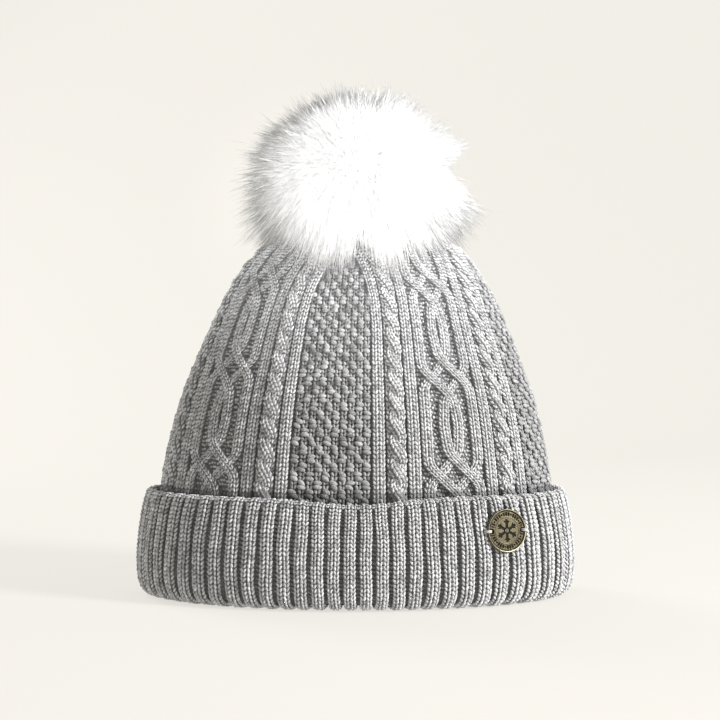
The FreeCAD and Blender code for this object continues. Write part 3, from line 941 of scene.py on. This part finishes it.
def rib_edges():
    """Shares of the way round of the cuff's grooves, closer together in front, and the ribs' widths."""
    s = np.linspace(0, 1, 4001)
    away = (s + 0.5) % 1.0 - 0.5
    pitch = 9.1 - 1.5 * np.exp(-((away / 0.075) ** 2)) + 1.8 * np.exp(-(((away - 0.175) / 0.03) ** 2))
    count = np.concatenate([[0], np.cumsum(1 / pitch[:-1])])
    count *= CUFF_RIBS / count[-1]
    start = np.interp(1.2 / CUFF_ROUND, s, count) % 1.0
    edges = np.interp(np.arange(CUFF_RIBS) + start, count, s)
    return edges, (np.roll(edges, -1) - edges) % 1.0


def groove_sway(k, along):
    """How far a groove wanders sideways as it goes up, as hand-washed knitting does."""
    return 0.42 * np.sin(0.105 * along + 2.4 * k) + 0.22 * np.sin(0.23 * along + 1.3 * k + 1.0)


def cuff_sag(share, height):
    """How far the cuff's top edge sinks in the middle of the front."""
    away = (share + 0.5) % 1.0 - 0.5
    high = np.clip((height - 28.0) / 22.0, 0, 1) ** 2
    return high * (2.7 * np.exp(-((away / 0.048) ** 2)) - 0.5 * np.exp(-(((away - 0.11) / 0.04) ** 2)))


def cuff_cloth(profile, step):
    sections = [(height, wide, wide - CUFF_DEPTH_LESS) for height, wide in profile]
    return Cloth(sections, step=step, sag=cuff_sag)


def cuff_flattening(cloth, along):
    """From 0 on the cuff's outside to 1 past its top edge, where the grooves close."""
    top = float(np.argmax(cloth.height)) * cloth.step
    return np.clip((along - (top - 4.5)) / 3.0, 0, 1)


def rib_columns(yarn, cloth, middle, rows, off, wale, roll):
    """The two columns of stitches of a rib."""
    for side in (-wale * 0.5, wale * 0.5):
        share = middle + side / cloth.round_at(rows)
        knit_column(yarn, cloth, share, rows, off, wale, 0.0, side, roll)


def cuff_ribs(cloth, edges, pitches):
    """The cuff's ribs with a purl column in each groove, in four pieces."""
    rows = (np.arange(int((cloth.length - 2.5) / ROW)) + 0.5) * ROW
    merge = cuff_flattening(cloth, rows)
    around = cloth.round_at(rows)
    low = merge < 0.5
    for quarter in range(4):
        yarn = Yarn()
        for k in range(quarter * CUFF_RIBS // 4, (quarter + 1) * CUFF_RIBS // 4):
            pitch = pitches[k] * CUFF_ROUND
            wale = (pitch - 1.75) / 2
            groove = pitch - 2 * wale
            left_sway = groove_sway(k, rows) / around
            right_sway = groove_sway((k + 1) % CUFF_RIBS, rows) / around
            middle = edges[k] + pitches[k] / 2 + (left_sway + right_sway) / 2
            rib_columns(yarn, cloth, middle, rows, -0.25, wale, 1.1)
            share = edges[k] + left_sway
            sunk = -3.3 + 2.4 * merge[low]
            purl_bumps(yarn, share[low], rows[low], sunk, groove * 0.5 + 0.5, 0.45, 0.5, 0.5)
            knit_column(yarn, cloth, share[~low], rows[~low], -0.9 + 0.35 * merge[~low], groove)
        yarn.mesh(cloth, f"cuff_ribs_{quarter}", "rib_cuff", KNIT, 300 + quarter)


def rib_cuff():
    """The turned-up cuff: its ribs, and a body that swells under each rib and sinks in each groove."""
    cloth = cuff_cloth(CUFF_PROFILE, 0.6)
    edges, pitches = rib_edges()
    cuff_ribs(cloth, edges, pitches)
    parts = np.arange(10)
    share = (edges[:, None] + pitches[:, None] * parts / 10).ravel()[None, :]
    swell = np.tile([-3.7, -3.2, -1.9, -1.1, -0.85, -0.95, -0.85, -1.1, -1.9, -3.2], CUFF_RIBS)
    rows = np.linspace(0, cloth.length, int(cloth.length / 1.2))[:, None]
    flat = cuff_flattening(cloth, rows)
    level = swell * (1 - flat) + flat * -1.2
    rib = np.repeat(np.arange(CUFF_RIBS), 10)[None, :]
    part = np.tile(parts / 10, CUFF_RIBS)
    sway = groove_sway(rib, rows) * (1 - part) + groove_sway((rib + 1) % CUFF_RIBS, rows) * part
    outer = cloth.at(share + sway / cloth.round_at(rows), rows, level)
    lining = cuff_cloth(CUFF_LINING, 0.8)
    inner = lining.at(share, np.linspace(0, lining.length, 50)[:, None], 0.0)
    # the cuff's body is painted dark as shade under its ribs
    wrapped_piece("cuff_ground", "rib_cuff", np.concatenate([outer, inner]), KNIT_BODY_PAINTED_SHADE)


def rib_band():
    """The layer under the cuff: the same ribs, seen when the cuff is down."""
    cloth = Cloth([(height, 99.0, 55.2) for height in (4.0, 20.0, 34.0, 48.0)])
    edges, pitches = rib_edges()
    rows = (np.arange(int(43.0 / ROW)) + 0.8) * ROW
    for half in range(2):
        yarn = Yarn()
        for k in range(half * CUFF_RIBS // 2, (half + 1) * CUFF_RIBS // 2):
            wale = min(2.9, (pitches[k] * cloth.round[0] - 1.5) / 2)
            rib_columns(yarn, cloth, edges[k] + pitches[k] / 2, rows, -0.7, wale, 0.9)
            purl_bumps(yarn, np.full_like(rows, edges[k]), rows, -2.2, 1.2, 0.4, 0.45, 0.5)
        yarn.mesh(cloth, f"band_ribs_{half}", "rib_band", KNIT, 400 + half, 5, 3)
    share = (edges[:, None] + pitches[:, None] * np.arange(6) / 6).ravel()
    swell = np.tile([-2.6, -1.7, -1.2, -1.15, -1.2, -1.7], CUFF_RIBS)
    rows = np.linspace(0, cloth.length, 30)[:, None]
    outer = cloth.at(share, rows, swell)
    inner = cloth.at(share, rows[::-1], -4.0)
    # the band's body is painted dark as shade under its ribs
    wrapped_piece("band_ground", "rib_band", np.concatenate([outer, inner, outer[:1]]), KNIT_BODY_PAINTED_SHADE)


def fleece_band():
    """A brushed fleece sleeve inside the rib, with a nap of small tufts."""
    cloth = Cloth([(height, 94.8, 51.0) for height in (6.0, 20.0, 34.0, 46.0)])
    columns, rows = 760, 64
    share = np.arange(columns) / columns
    along = np.linspace(0, cloth.length, rows)[:, None]
    nap = np.random.default_rng(8).normal(0, 1, (rows, columns))
    for _ in range(2):
        nap = (nap + np.roll(nap, 1, 1) + np.roll(nap, -1, 1)) / 3
        nap[1:-1] = (nap[1:-1] + nap[:-2] + nap[2:]) / 3
    edge = np.clip(np.minimum(along, cloth.length - along) / 1.2, 0, 1)
    outer = cloth.at(share, along, 0.0)
    inner = cloth.at(share, along[::-1], -1.55 * edge**0.5 - 0.35 + nap * 0.28)
    points = np.concatenate([outer, inner, outer[:1]])
    piece = wrapped_piece("fleece_sleeve", "fleece_ear_band", points, FLEECE)
    weld(piece)


# --------------------------------------------------------------------------- pom

STRANDS = 72000
LOCKS = 2600
FUR_MIDDLE = np.array([POM_X, 0.0, 208.5])
CORE_MIDDLE = np.array([POM_X, 0.0, 211.0])
CORE_RADIUS = 23.0
CORE_HALF_HEIGHT = 19.0
PELT_SIZE = np.array([24.2, 24.2, 20.2])
# The upward part of a strand's aim below which it belongs to the fringe on the crown.
FRINGE_AIM = -0.30


def directions(z, azimuth):
    """Unit vectors with the given upward parts and azimuths, which are 0 to the front."""
    flat = np.sqrt(1 - z**2)
    return np.stack(np.broadcast_arrays(flat * np.sin(azimuth), -flat * np.cos(azimuth), z), axis=-1)


def crown_top_height(x, y):
    """The height of the crown under a point, from the crown's middle."""
    height, half_width, half_depth = np.array(CROWN_PROFILE[::-1], float).T
    reach = np.hypot(x, y)
    for _ in range(9):
        reach = np.hypot(x, y * np.interp(reach, half_width, half_width / half_depth))
    return np.interp(reach, half_width, height, right=40.0)


def fur_outline(direction):
    """How far the pile reaches in each direction from the middle of the pom: an uneven ball."""
    x, y, z = np.moveaxis(direction, -1, 0)
    azimuth = np.arctan2(x, -y)
    ball = 1 / np.sqrt((x**2 + y**2) / 58.0**2 + z**2 / 43.0**2)
    lumps = (
        0.955
        + 0.018 * np.sin(3.1 * azimuth + 0.7) * np.sqrt(1 - z**2)
        + 0.02 * np.sin(5.3 * azimuth - 4.0 * z + 1.1)
        + 0.015 * np.sin(7.0 * z + 2.3 * azimuth)
    )
    # a parting on the right, with a fuller lock under it
    rise = np.arctan2(z, np.abs(x))
    right = np.clip((x - 0.6) / 0.3, 0, 1)
    lumps -= 0.21 * right * np.exp(-(((rise - 0.05) / 0.15) ** 2))
    lumps += 0.06 * right * np.exp(-(((rise + 0.30) / 0.16) ** 2))
    # flattened shoulders, and a crest a little left of the top
    turn = np.arctan2(z, x)
    sideways = np.clip(1.6 * np.hypot(x, z) - 0.6, 0, 1)
    for middle, spread, less in ((0.62, 0.34, 0.12), (1.45, 0.26, 0.06), (2.42, 0.28, 0.09)):
        lumps -= less * sideways * np.exp(-(((turn - middle) / spread) ** 2))
    return ball * lumps


def fur_paths(rng, direction, s):
    """The points of every strand at shares s of it, its aim, and whether it is a long guard hair."""
    # the tips of neighbouring strands draw together into locks
    lock = directions(rng.uniform(-0.66, 1.0, LOCKS), rng.uniform(-np.pi, np.pi, LOCKS))
    batches = np.array_split(direction, 18)
    nearest = np.concatenate([np.argmax(batch @ lock.T, axis=1) for batch in batches])
    lock_lean = rng.normal(0, 0.11, (LOCKS, 3))
    lock_reach = rng.normal(1.0, 0.045, LOCKS)
    pull = rng.uniform(0.2, 0.7, STRANDS)[:, None]
    aim = direction * (1 - pull) + lock[nearest] * pull + lock_lean[nearest]
    aim += rng.normal(0, 0.05, (STRANDS, 3))
    aim /= np.linalg.norm(aim, axis=1, keepdims=True)
    # the pile's length: guard hairs stand out, the undercoat is short, the underside is long
    reach = fur_outline(aim) * lock_reach[nearest]
    reach *= np.clip(rng.normal(0.965, 0.055, STRANDS), 0.75, 1.12)
    guard = rng.random(STRANDS) < 0.05
    reach = np.where(guard, reach * rng.uniform(1.03, 1.12, STRANDS), reach)
    undercoat = rng.random(STRANDS) < 0.36
    reach = np.where(undercoat & ~guard, reach * rng.uniform(0.74, 0.92, STRANDS), reach)
    reach *= 1 + 0.30 * np.clip(-aim[:, 2] - 0.12, 0, 1)
    # from the root to the tip with a bend, drooping most at the sides and back
    root = CORE_MIDDLE + direction * PELT_SIZE
    tip = FUR_MIDDLE + aim * reach[:, None]
    bend = rng.normal(0, 3.6, (STRANDS, 3)) + lock_lean[nearest] * 18
    droop = np.clip(0.15 - aim[:, 2], 0, 1) * (12.0 + 26.0 * aim[:, 1] ** 2)
    droop *= rng.uniform(0.6, 1.3, STRANDS)
    droop *= 1 - 0.55 * (aim[:, 1] < 0) * np.exp(-((aim[:, 0] / 0.16) ** 2))
    path = (
        root[:, None, :] * (1 - s)[None, :, None]
        + tip[:, None, :] * s[None, :, None]
        + bend[:, None, :] * (s * (1 - s) * 1.6)[None, :, None]
    )
    path[:, :, 2] -= droop[:, None] * s**2
    # the lowest pile lies on the shoulder of the crown and on the snap, and never enters them
    shoulder = crown_top_height(path[:, :, 0] - 2.6, path[:, :, 1]) + 1.9 + 0.6 * s
    over_snap = np.hypot(path[:, :, 0] - POM_X, path[:, :, 1]) < 17.0
    path[:, :, 2] = np.maximum(path[:, :, 2], np.maximum(shoulder, np.where(over_snap, 190.5, 0)))
    return path, aim, guard


def strand_points(rng, path, guard):
    """Ten points for each strand: three rings of three round its path, and its tip."""
    ahead = path[:, 1:] - path[:, :-1]
    ahead /= np.maximum(np.linalg.norm(ahead, axis=2, keepdims=True), 1e-6)
    side = np.cross(ahead, rng.normal(0, 1, (STRANDS, 1, 3)))
    side /= np.maximum(np.linalg.norm(side, axis=2, keepdims=True), 1e-6)
    other = np.cross(ahead, side)
    thick = np.array([0.20, 0.21, 0.16]) * rng.uniform(0.7, 1.25, STRANDS)[:, None]
    thick = np.where(guard[:, None], thick * 0.75, thick)[:, :, None]
    turn = np.array([0.0, 2.0944, 4.18879])
    rings = (
        path[:, :3, None, :]
        + side[:, :, None, :] * (thick * np.cos(turn))[..., None]
        + other[:, :, None, :] * (thick * np.sin(turn))[..., None]
    )
    return np.concatenate([rings.reshape(STRANDS, 9, 3), path[:, 3:]], axis=1)


def fur():
    """The pile, in pieces: a fringe on the crown, whose pieces each get a mesh of their own, and the rest.
    """
    rng = np.random.default_rng(21)
    z = rng.uniform(-0.62, 1.0, STRANDS)
    azimuth = rng.uniform(-np.pi, np.pi, STRANDS)
    s = np.array([0.0, 0.36, 0.72, 1.0])
    path, aim, guard = fur_paths(rng, directions(z, azimuth), s)
    points = strand_points(rng, path, guard)
    # each strand's shade is its own, greyer for guard hairs, with painted light on top: strands aimed to
    # the front and back are painted whiter, and those aimed up and to the right greyer, where the lamps
    # fall strongest
    tone_and_painted_light = rng.normal(0, 1, STRANDS) + np.where(guard, 1.5, 0) + 0.6 - 3.8 * aim[:, 1] ** 2
    tone_and_painted_light += 1.8 * np.clip(aim[:, 2], 0, 1) + 0.9 * np.clip(aim[:, 0], 0, 1)
    # strands of like tone lie side by side in the uv map, so a texture made of it keeps their shades
    shade = 0.005 + 0.99 * np.argsort(np.argsort(tone_and_painted_light)) / STRANDS
    across = np.append(np.tile([-0.004, 0.0, 0.004], 3), 0.0)
    reach = np.append(np.repeat(s[:3], 3), s[3])
    quads = grid_faces(3, 3, wrap=True)
    tips = [[6, 7, 9], [7, 8, 9], [8, 6, 9]]
    fringe = aim[:, 2] < FRINGE_AIM
    for kind, chosen, parts in (("skirt", fringe, 2), ("side", ~fringe, 5)):
        members = np.flatnonzero(chosen)
        members = members[np.argsort(azimuth[members])]
        for number, group in enumerate(np.array_split(members, parts), start=1):
            faces = [repeat_faces(shape, len(group), 10) for shape in (quads, tips)]
            uv = np.stack(np.broadcast_arrays(shade[group][:, None] + across, reach), axis=-1)
            facts = {"reach": np.tile(reach, len(group)), "tone_and_painted_light": np.repeat(tone_and_painted_light[group], 10)}
            name = f"fur_{kind}_{number}"
            piece = make_mesh(name, "pom_fur", points[group], faces, FUR, uv.reshape(-1, 2), facts)
            if kind == "skirt":
                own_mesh(piece)


def underwool():
    """The short dense wool of the pelt, under the long pile."""
    rows, columns = 90, 220
    z = np.cos(np.linspace(0.02, math.radians(112), rows))[:, None]
    direction = directions(z, full_turn(columns))
    tufts = np.random.default_rng(5).uniform(0.64, 0.80, (rows, columns))
    outer = FUR_MIDDLE + direction * (fur_outline(direction) * tufts)[..., None]
    inner = CORE_MIDDLE + direction * (PELT_SIZE + 0.7)
    outer[..., 2] = np.maximum(outer[..., 2], inner[-1, 0, 2] - 3.0)
    points = np.concatenate([outer, inner[::-1], outer[:1]])
    number = points.shape[0] * columns
    facts = {"reach": np.full(number, 0.3), "tone_and_painted_light": np.zeros(number)}
    wrapped_piece("fur_underwool", "pom_fur", points, FUR, facts)


def core_arc(low, steps, grow, share=1.0):
    """Points up the side of the core, from an angle below its middle to its top, grown outwards."""
    angle = np.linspace(low, math.pi / 2, steps)
    radius = (CORE_RADIUS + grow) * share * np.cos(angle)
    height = CORE_MIDDLE[2] + (CORE_HALF_HEIGHT + grow) * share * np.sin(angle)
    return np.stack([radius, height], axis=1)


def pom_inside():
    """The stuffed core, the pelt bag round it and its drawstring."""

    def lumpy(radius, height, angle):
        return radius * (1 - 0.02 * (1 + np.sin(5 * angle + height * 0.35) * np.cos(height * 0.5))), height

    def pleats(radius, height, angle):
        depth = np.clip((200.0 - height) / 8.0, 0, 1)
        return radius * (1 - 0.05 * depth * (0.5 + 0.5 * np.cos(22 * angle))), height

    core = lathe("pom_filling", "pom_core", core_arc(-math.pi / 2, 25, 0.0, 0.99), FILLING, wobble=lumpy)
    mouth = math.radians(-68.7)
    profile = np.concatenate([core_arc(mouth, 29, 1.7)[::-1], core_arc(mouth, 29, 0.3)])
    lathe("pelt_bag", "pom_pelt", profile, PELT, wobble=pleats)
    angle = full_turn(160)
    ring = ring_path(10.6, 191.1 + 0.05 * np.sin(22 * angle), angle)
    tube("pelt_drawstring", "pom_drawstring", ring, 0.68, THREAD, 12, True, (3, 3.3, 0.22))


# --------------------------------------------------------------------------- small parts


def felt_disc(name, node, bottom, top, radius, hole):
    """A die-cut felt washer with a softly furred edge."""
    middle = (bottom + top) / 2
    half = (top - bottom) / 2

    def fuzz(r, z, angle):
        ripple = 0.10 * np.sin(31 * angle + r * 3) + 0.07 * np.sin(53 * angle + 2 * r)
        return r - np.abs(ripple) * np.clip((r - radius + 1.5) / 1.5, 0, 1), z

    run = (radius - hole - 1.0) / 8
    profile = [(hole, middle - half * 0.8), (hole + 0.4, bottom)]
    profile += [(hole + 0.4 + run * k, bottom) for k in range(1, 9)]
    profile += [(radius - 0.1, bottom + half * 0.5), (radius, middle), (radius - 0.1, top - half * 0.5)]
    profile += [(radius - 0.6 - run * k, top) for k in range(9)]
    profile += [(hole, middle + half * 0.8), (hole, middle - half * 0.8)]
    lathe(name, node, profile, FELT, sides=144, wobble=fuzz)


BADGE_RADIUS = 10.25
BADGE_SLOTS = 38
HOLE_AT = 8.1


def bar(value, half, soft):
    """1 within half of 0, falling softly to 0 outside."""
    return np.clip((half - np.abs(value)) / soft + 0.5, 0, 1)


def badge_dashes(r, a):
    """A generic ring of three dashes and a dot over and over, with a gap at each sewing hole."""
    turned = a * BADGE_SLOTS / (2 * np.pi)
    is_long = np.floor(turned).astype(int) % 4 != 3
    across = bar(turned % 1.0 - 0.5, np.where(is_long, 0.27, 0.30), 0.14)
    gap = np.clip((np.abs(np.sin(a)) - 0.22) / 0.06, 0, 1)
    return across * bar(r - 7.75, np.where(is_long, 0.80, 0.32), 0.2) * gap


def badge_star(r, x, y):
    """Three bars crossed into a six-armed star, with a pair of barbs on each arm and a hub."""
    star = np.zeros_like(r)
    for k in range(3):
        direction = math.radians(60 * k + 30)
        u = x * math.cos(direction) + y * math.sin(direction)
        v = -x * math.sin(direction) + y * math.cos(direction)
        star = np.maximum(star, bar(v, 0.56, 0.16) * bar(u, 5.2, 0.3))
        tip = np.abs(u) - 3.1
        for side in (-1, 1):
            star = np.maximum(star, bar(v * side - tip * 0.9, 0.36, 0.14) * bar(tip - 0.65, 0.72, 0.2))
    return np.maximum(star * np.clip((r - 1.1) / 0.2, 0, 1), bar(r - 1.35, 0.22, 0.14))


def badge():
    """The badge as a fine relief, sewn on the right of the cuff's front."""
    turn, tilt = math.radians(24.0), math.radians(6.0)
    across = np.array([math.cos(turn), math.sin(turn), 0.0])
    out = np.array([math.sin(turn) * math.cos(tilt), -math.cos(turn) * math.cos(tilt), math.sin(tilt)])
    up = np.cross(out, across)
    sideways, height, cuff_half = 70.7, 36.5, 107.4
    deep = (cuff_half - CUFF_DEPTH_LESS) * math.sqrt(1 - (sideways / cuff_half) ** 2)
    place = np.array([sideways, -deep, height]) + out * 0.35

    def spot(x, y, level):
        return place + x[..., None] * across + y[..., None] * up + level[..., None] * out

    radius = BADGE_RADIUS * np.linspace(0.0, 1.0, 110) ** 0.8
    angle = full_turn(260)
    r, a = np.meshgrid(radius, angle, indexing="ij")
    x, y = r * np.cos(a), r * np.sin(a)
    rim = np.clip((r - 9.35) / 0.25, 0, 1) * np.clip((10.35 - r) / 0.3, 0, 1)
    groove = bar(r - 9.1, 0.14, 0.12)
    thin_ring = bar(r - 6.25, 0.16, 0.12)
    dashes, star = badge_dashes(r, a), badge_star(r, x, y)
    hole = np.hypot(np.abs(x) - HOLE_AT, y)
    pits = np.random.default_rng(5).normal(0, 0.012, r.shape)
    level = 1.2 + 0.55 * rim - 0.14 * groove + 0.16 * thin_ring - 0.28 * dashes - 0.26 * star + pits
    level += 0.10 * (1 - (r / BADGE_RADIUS) ** 2)
    level = np.where(hole < 1.15, 0.05, level) + 0.18 * bar(hole - 1.45, 0.22, 0.15)
    worn_side = np.clip(np.cos(a + 0.9), 0, 1) ** 2
    rub = 0.50 + (0.12 + 0.42 * worn_side) * rim + 0.10 * thin_ring
    rub -= 0.62 * dashes + 0.62 * star + 0.3 * groove
    rub = np.where(hole < 1.2, 0.0, rub)

    # the edge goes down from the rim to the flat back, which closes at its middle
    edge = np.array([[BADGE_RADIUS, 0.9], [BADGE_RADIUS, 0.3], [10.1, 0.08], [9.7, 0.0], [0.0, 0.0]])
    edge_r, edge_level = edge.T[:, :, None] * np.ones(len(angle))
    points = [spot(x, y, level), spot(edge_r * np.cos(angle), edge_r * np.sin(angle), edge_level)]
    edge_rub = np.repeat([[0.75]] * 4 + [[0.5]], len(angle), axis=1)
    facts = {"rub": np.concatenate([rub, edge_rub])}
    spread = np.concatenate([radius / BADGE_RADIUS * 0.92, [0.94, 0.96, 0.98, 1.0, 1.0]])[:, None]
    uv = 0.5 + 0.49 * np.stack([spread * np.cos(angle), spread * np.sin(angle)], axis=-1)
    faces = [grid_faces(len(spread), len(angle), wrap=True)]
    points = np.concatenate(points)
    make_mesh("badge_relief", "badge_disc", points, faces, BADGE, uv.reshape(-1, 2), facts)

    # each thread goes through a hole and round the edge in three turns, like hand sewing
    wind = np.linspace(0, 2 * np.pi * 3, 150)[:, None]
    for name, side in (("left", -1.0), ("right", 1.0)):
        centre = place + across * side * 10.3 + out * 0.1
        loops = (
            centre
            - across * side * (0.65 + 1.55 * np.cos(wind))
            + out * 2.05 * np.sin(wind)
            + up * 0.42 * np.cos(wind / 3)
        )
        node = f"badge_thread_{name}"
        tube(f"badge_sewing_{name}", node, loops, 0.36, THREAD, 8, False, (2, 1.4, 0.25))


def gather_yarn():
    """Twisted yarn drawn round the top of the crown, dipping into the knit between pleats."""
    angle = full_turn(400)
    path = ring_path(17.0, 180.95 + 0.35 * np.cos(16 * angle), angle)
    tube("gather_yarn_ring", "crown_gather_yarn", path, 0.85, KNIT, 12, True, (2, 4.0, 0.3))


def back_seam():
    """Overcast stitches along the ridge of the back seam."""
    height, _, depth = smooth_path(CROWN_PROFILE, 1.0).T
    k = (height >= 50.5) & (height <= 157.5) & (np.arange(len(height)) < np.argmax(height))
    ridge = np.stack([np.full(np.count_nonzero(k), 0.8), depth[k] - 4.7, height[k]], axis=1)
    tube("seam_ridge", "back_seam", ridge, 1.05, LINING, 12, False)
    length = run_along(ridge)
    marks = np.linspace(0, length[-1], int(length[-1] / 0.22))
    base = np.stack([np.interp(marks, length, ridge[:, axis]) for axis in range(3)], axis=1)
    wind = 2 * np.pi * marks / 3.6
    coil = base + np.stack([1.35 * np.cos(wind), 1.0 * np.sin(wind), np.zeros_like(wind)], axis=1)
    tube("seam_overcast", "back_seam", coil, 0.42, KNIT, 7, False)


def care_label():
    """A folded satin loop with a little wave, and generic care marks on one side."""
    half, length, ply = 0.9, 20.0, 0.35
    hinge = 45.2
    tip = hinge - length + half
    bend = math.pi * np.arange(9) / 8
    straight = np.arange(1, 40) / 40
    side = np.full(39, half)
    x = np.concatenate([half * np.cos(bend), -side, -half * np.cos(bend), side])
    y = np.concatenate(
        [
            hinge + half * np.sin(bend),
            hinge + (tip - hinge) * straight,
            tip - half * np.sin(bend),
            tip + (hinge - tip) * straight,
        ]
    )
    path = np.stack([x, y], axis=1)
    ahead = np.roll(path, -1, axis=0) - np.roll(path, 1, axis=0)
    ahead /= np.linalg.norm(ahead, axis=1, keepdims=True)
    z = np.linspace(62.2, 77.8, 33)[:, None]
    down = (hinge - y) / length
    wave = 0.35 * np.sin(down * 5.0 + z * 0.12) * np.clip(down, 0, 1)
    outer = np.stack(np.broadcast_arrays(0.8 + x + wave, y, z), axis=-1)
    inner = outer + ply * np.stack([-ahead[:, 1], ahead[:, 0], np.zeros(len(x))], axis=1)
    points = np.concatenate([outer, inner[::-1], outer[:1]])
    boxes = (np.abs((y - 30.0) % 4.6 - 2.3) < 1.1) & (np.abs(z - 73.0) < 1.2)
    lines = (np.abs(z - 68.0) < 0.3) | (np.abs(z - 66.2) < 0.3)
    ink = np.zeros(points.shape[:2])
    ink[: len(z)] = (x > half * 0.9) & (y > 29) & (y < 42) & (boxes | lines)
    piece = wrapped_piece("label_loop", "care_label", points, SATIN, {"ink": ink})
    weld(piece)


def paint_metal():
    """The snap's turned parts keep their CAD shapes and get real metal."""
    for node in ("snap_cap", "snap_stud", "snap_socket", "socket_cap", "snap_ring_spring"):
        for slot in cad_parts[node].material_slots:
            slot.material = STEEL if node == "snap_ring_spring" else BRASS


# --------------------------------------------------------------------------- stage


def floor_sweep():
    """A plain pale floor that rises behind."""
    paper = {
        "Base Color": (0.17, 0.166, 0.158, 1),
        "Roughness": 0.95,
        "Specular IOR Level": 0.0,
        "Emission Color": PALE,
        "Emission Strength": 0.75,
    }
    profile = [(-2600.0, 0.0), (900.0, 0.0)]
    for k in range(1, 17):
        angle = math.pi / 2 * k / 16
        profile.append((900 + 700 * math.sin(angle), 700 - 700 * math.cos(angle)))
    profile.append((1600.0, 3500.0))
    points = [(x, y, z) for y, z in profile for x in (-4000.0, 4000.0)]
    faces = [grid_faces(len(profile), 2)]
    floor = make_mesh("floor_sweep", None, points, faces, Look("floor_paper", paper).material, closed=False)


def lamp(name, kind, position, target, size, power):
    """A lamp aimed at a point.  size is an area lamp's side in metres or a spot's cone in degrees."""
    data = bpy.data.lights.new(name, kind)
    data.energy = power
    if kind == "AREA":
        data.size = size
    else:
        data.spot_size = math.radians(size)
        data.spot_blend = 0.6
        data.shadow_soft_size = 0.08
    lamp_object = bpy.data.objects.new(name, data)
    lamp_object.location = position
    aim = Vector(target) - Vector(position)
    lamp_object.rotation_euler = aim.to_track_quat("-Z", "Y").to_euler()
    bpy.context.scene.collection.objects.link(lamp_object)


def stage():
    """The floor, a pale world, soft light from the right and above, and the camera."""
    floor_sweep()
    world = bpy.data.worlds.new("studio")
    world.use_nodes = True
    background = world.node_tree.nodes["Background"]
    background.inputs["Color"].default_value = PALE
    background.inputs["Strength"].default_value = 0.66
    bpy.context.scene.world = world
    lamp("key", "AREA", (1.22, -0.66, 0.56), (0, 0, 0.10), 0.30, 37)
    lamp("back", "AREA", (-0.95, 1.00, 0.95), (0, 0, 0.14), 0.7, 14)
    lamp("pom_back", "SPOT", (0.45, 1.1, 0.65), (0.003, 0, 0.208), 7.0, 24)
    lamp("pom_front", "SPOT", (0.05, -1.2, 0.14), (0.005, 0, 0.207), 6.1, 172)

    camera = bpy.data.cameras.new("camera")
    camera.lens = 85.0
    camera.sensor_width = 36.0
    camera.shift_x = 0.00625
    camera.shift_y = -0.05
    camera_object = bpy.data.objects.new("camera", camera)
    camera_object.location = (0.0, -0.85, 0.134)
    camera_object.rotation_euler = (math.radians(90.0), 0, 0)
    bpy.context.scene.collection.objects.link(camera_object)
    bpy.context.scene.camera = camera_object
    bpy.context.scene.view_settings.view_transform = "Standard"


knit_crown()
rib_cuff()
rib_band()
fleece_band()
gather_yarn()
back_seam()
badge()
care_label()
felt_disc("felt_backing", "crown_backing_disc", 174.95, 176.35, 12.95, 2.45)
felt_disc("felt_base", "pom_base_disc", 186.2, 187.6, 13.95, 2.35)
pom_inside()
underwool()
fur()
paint_metal()
stage()
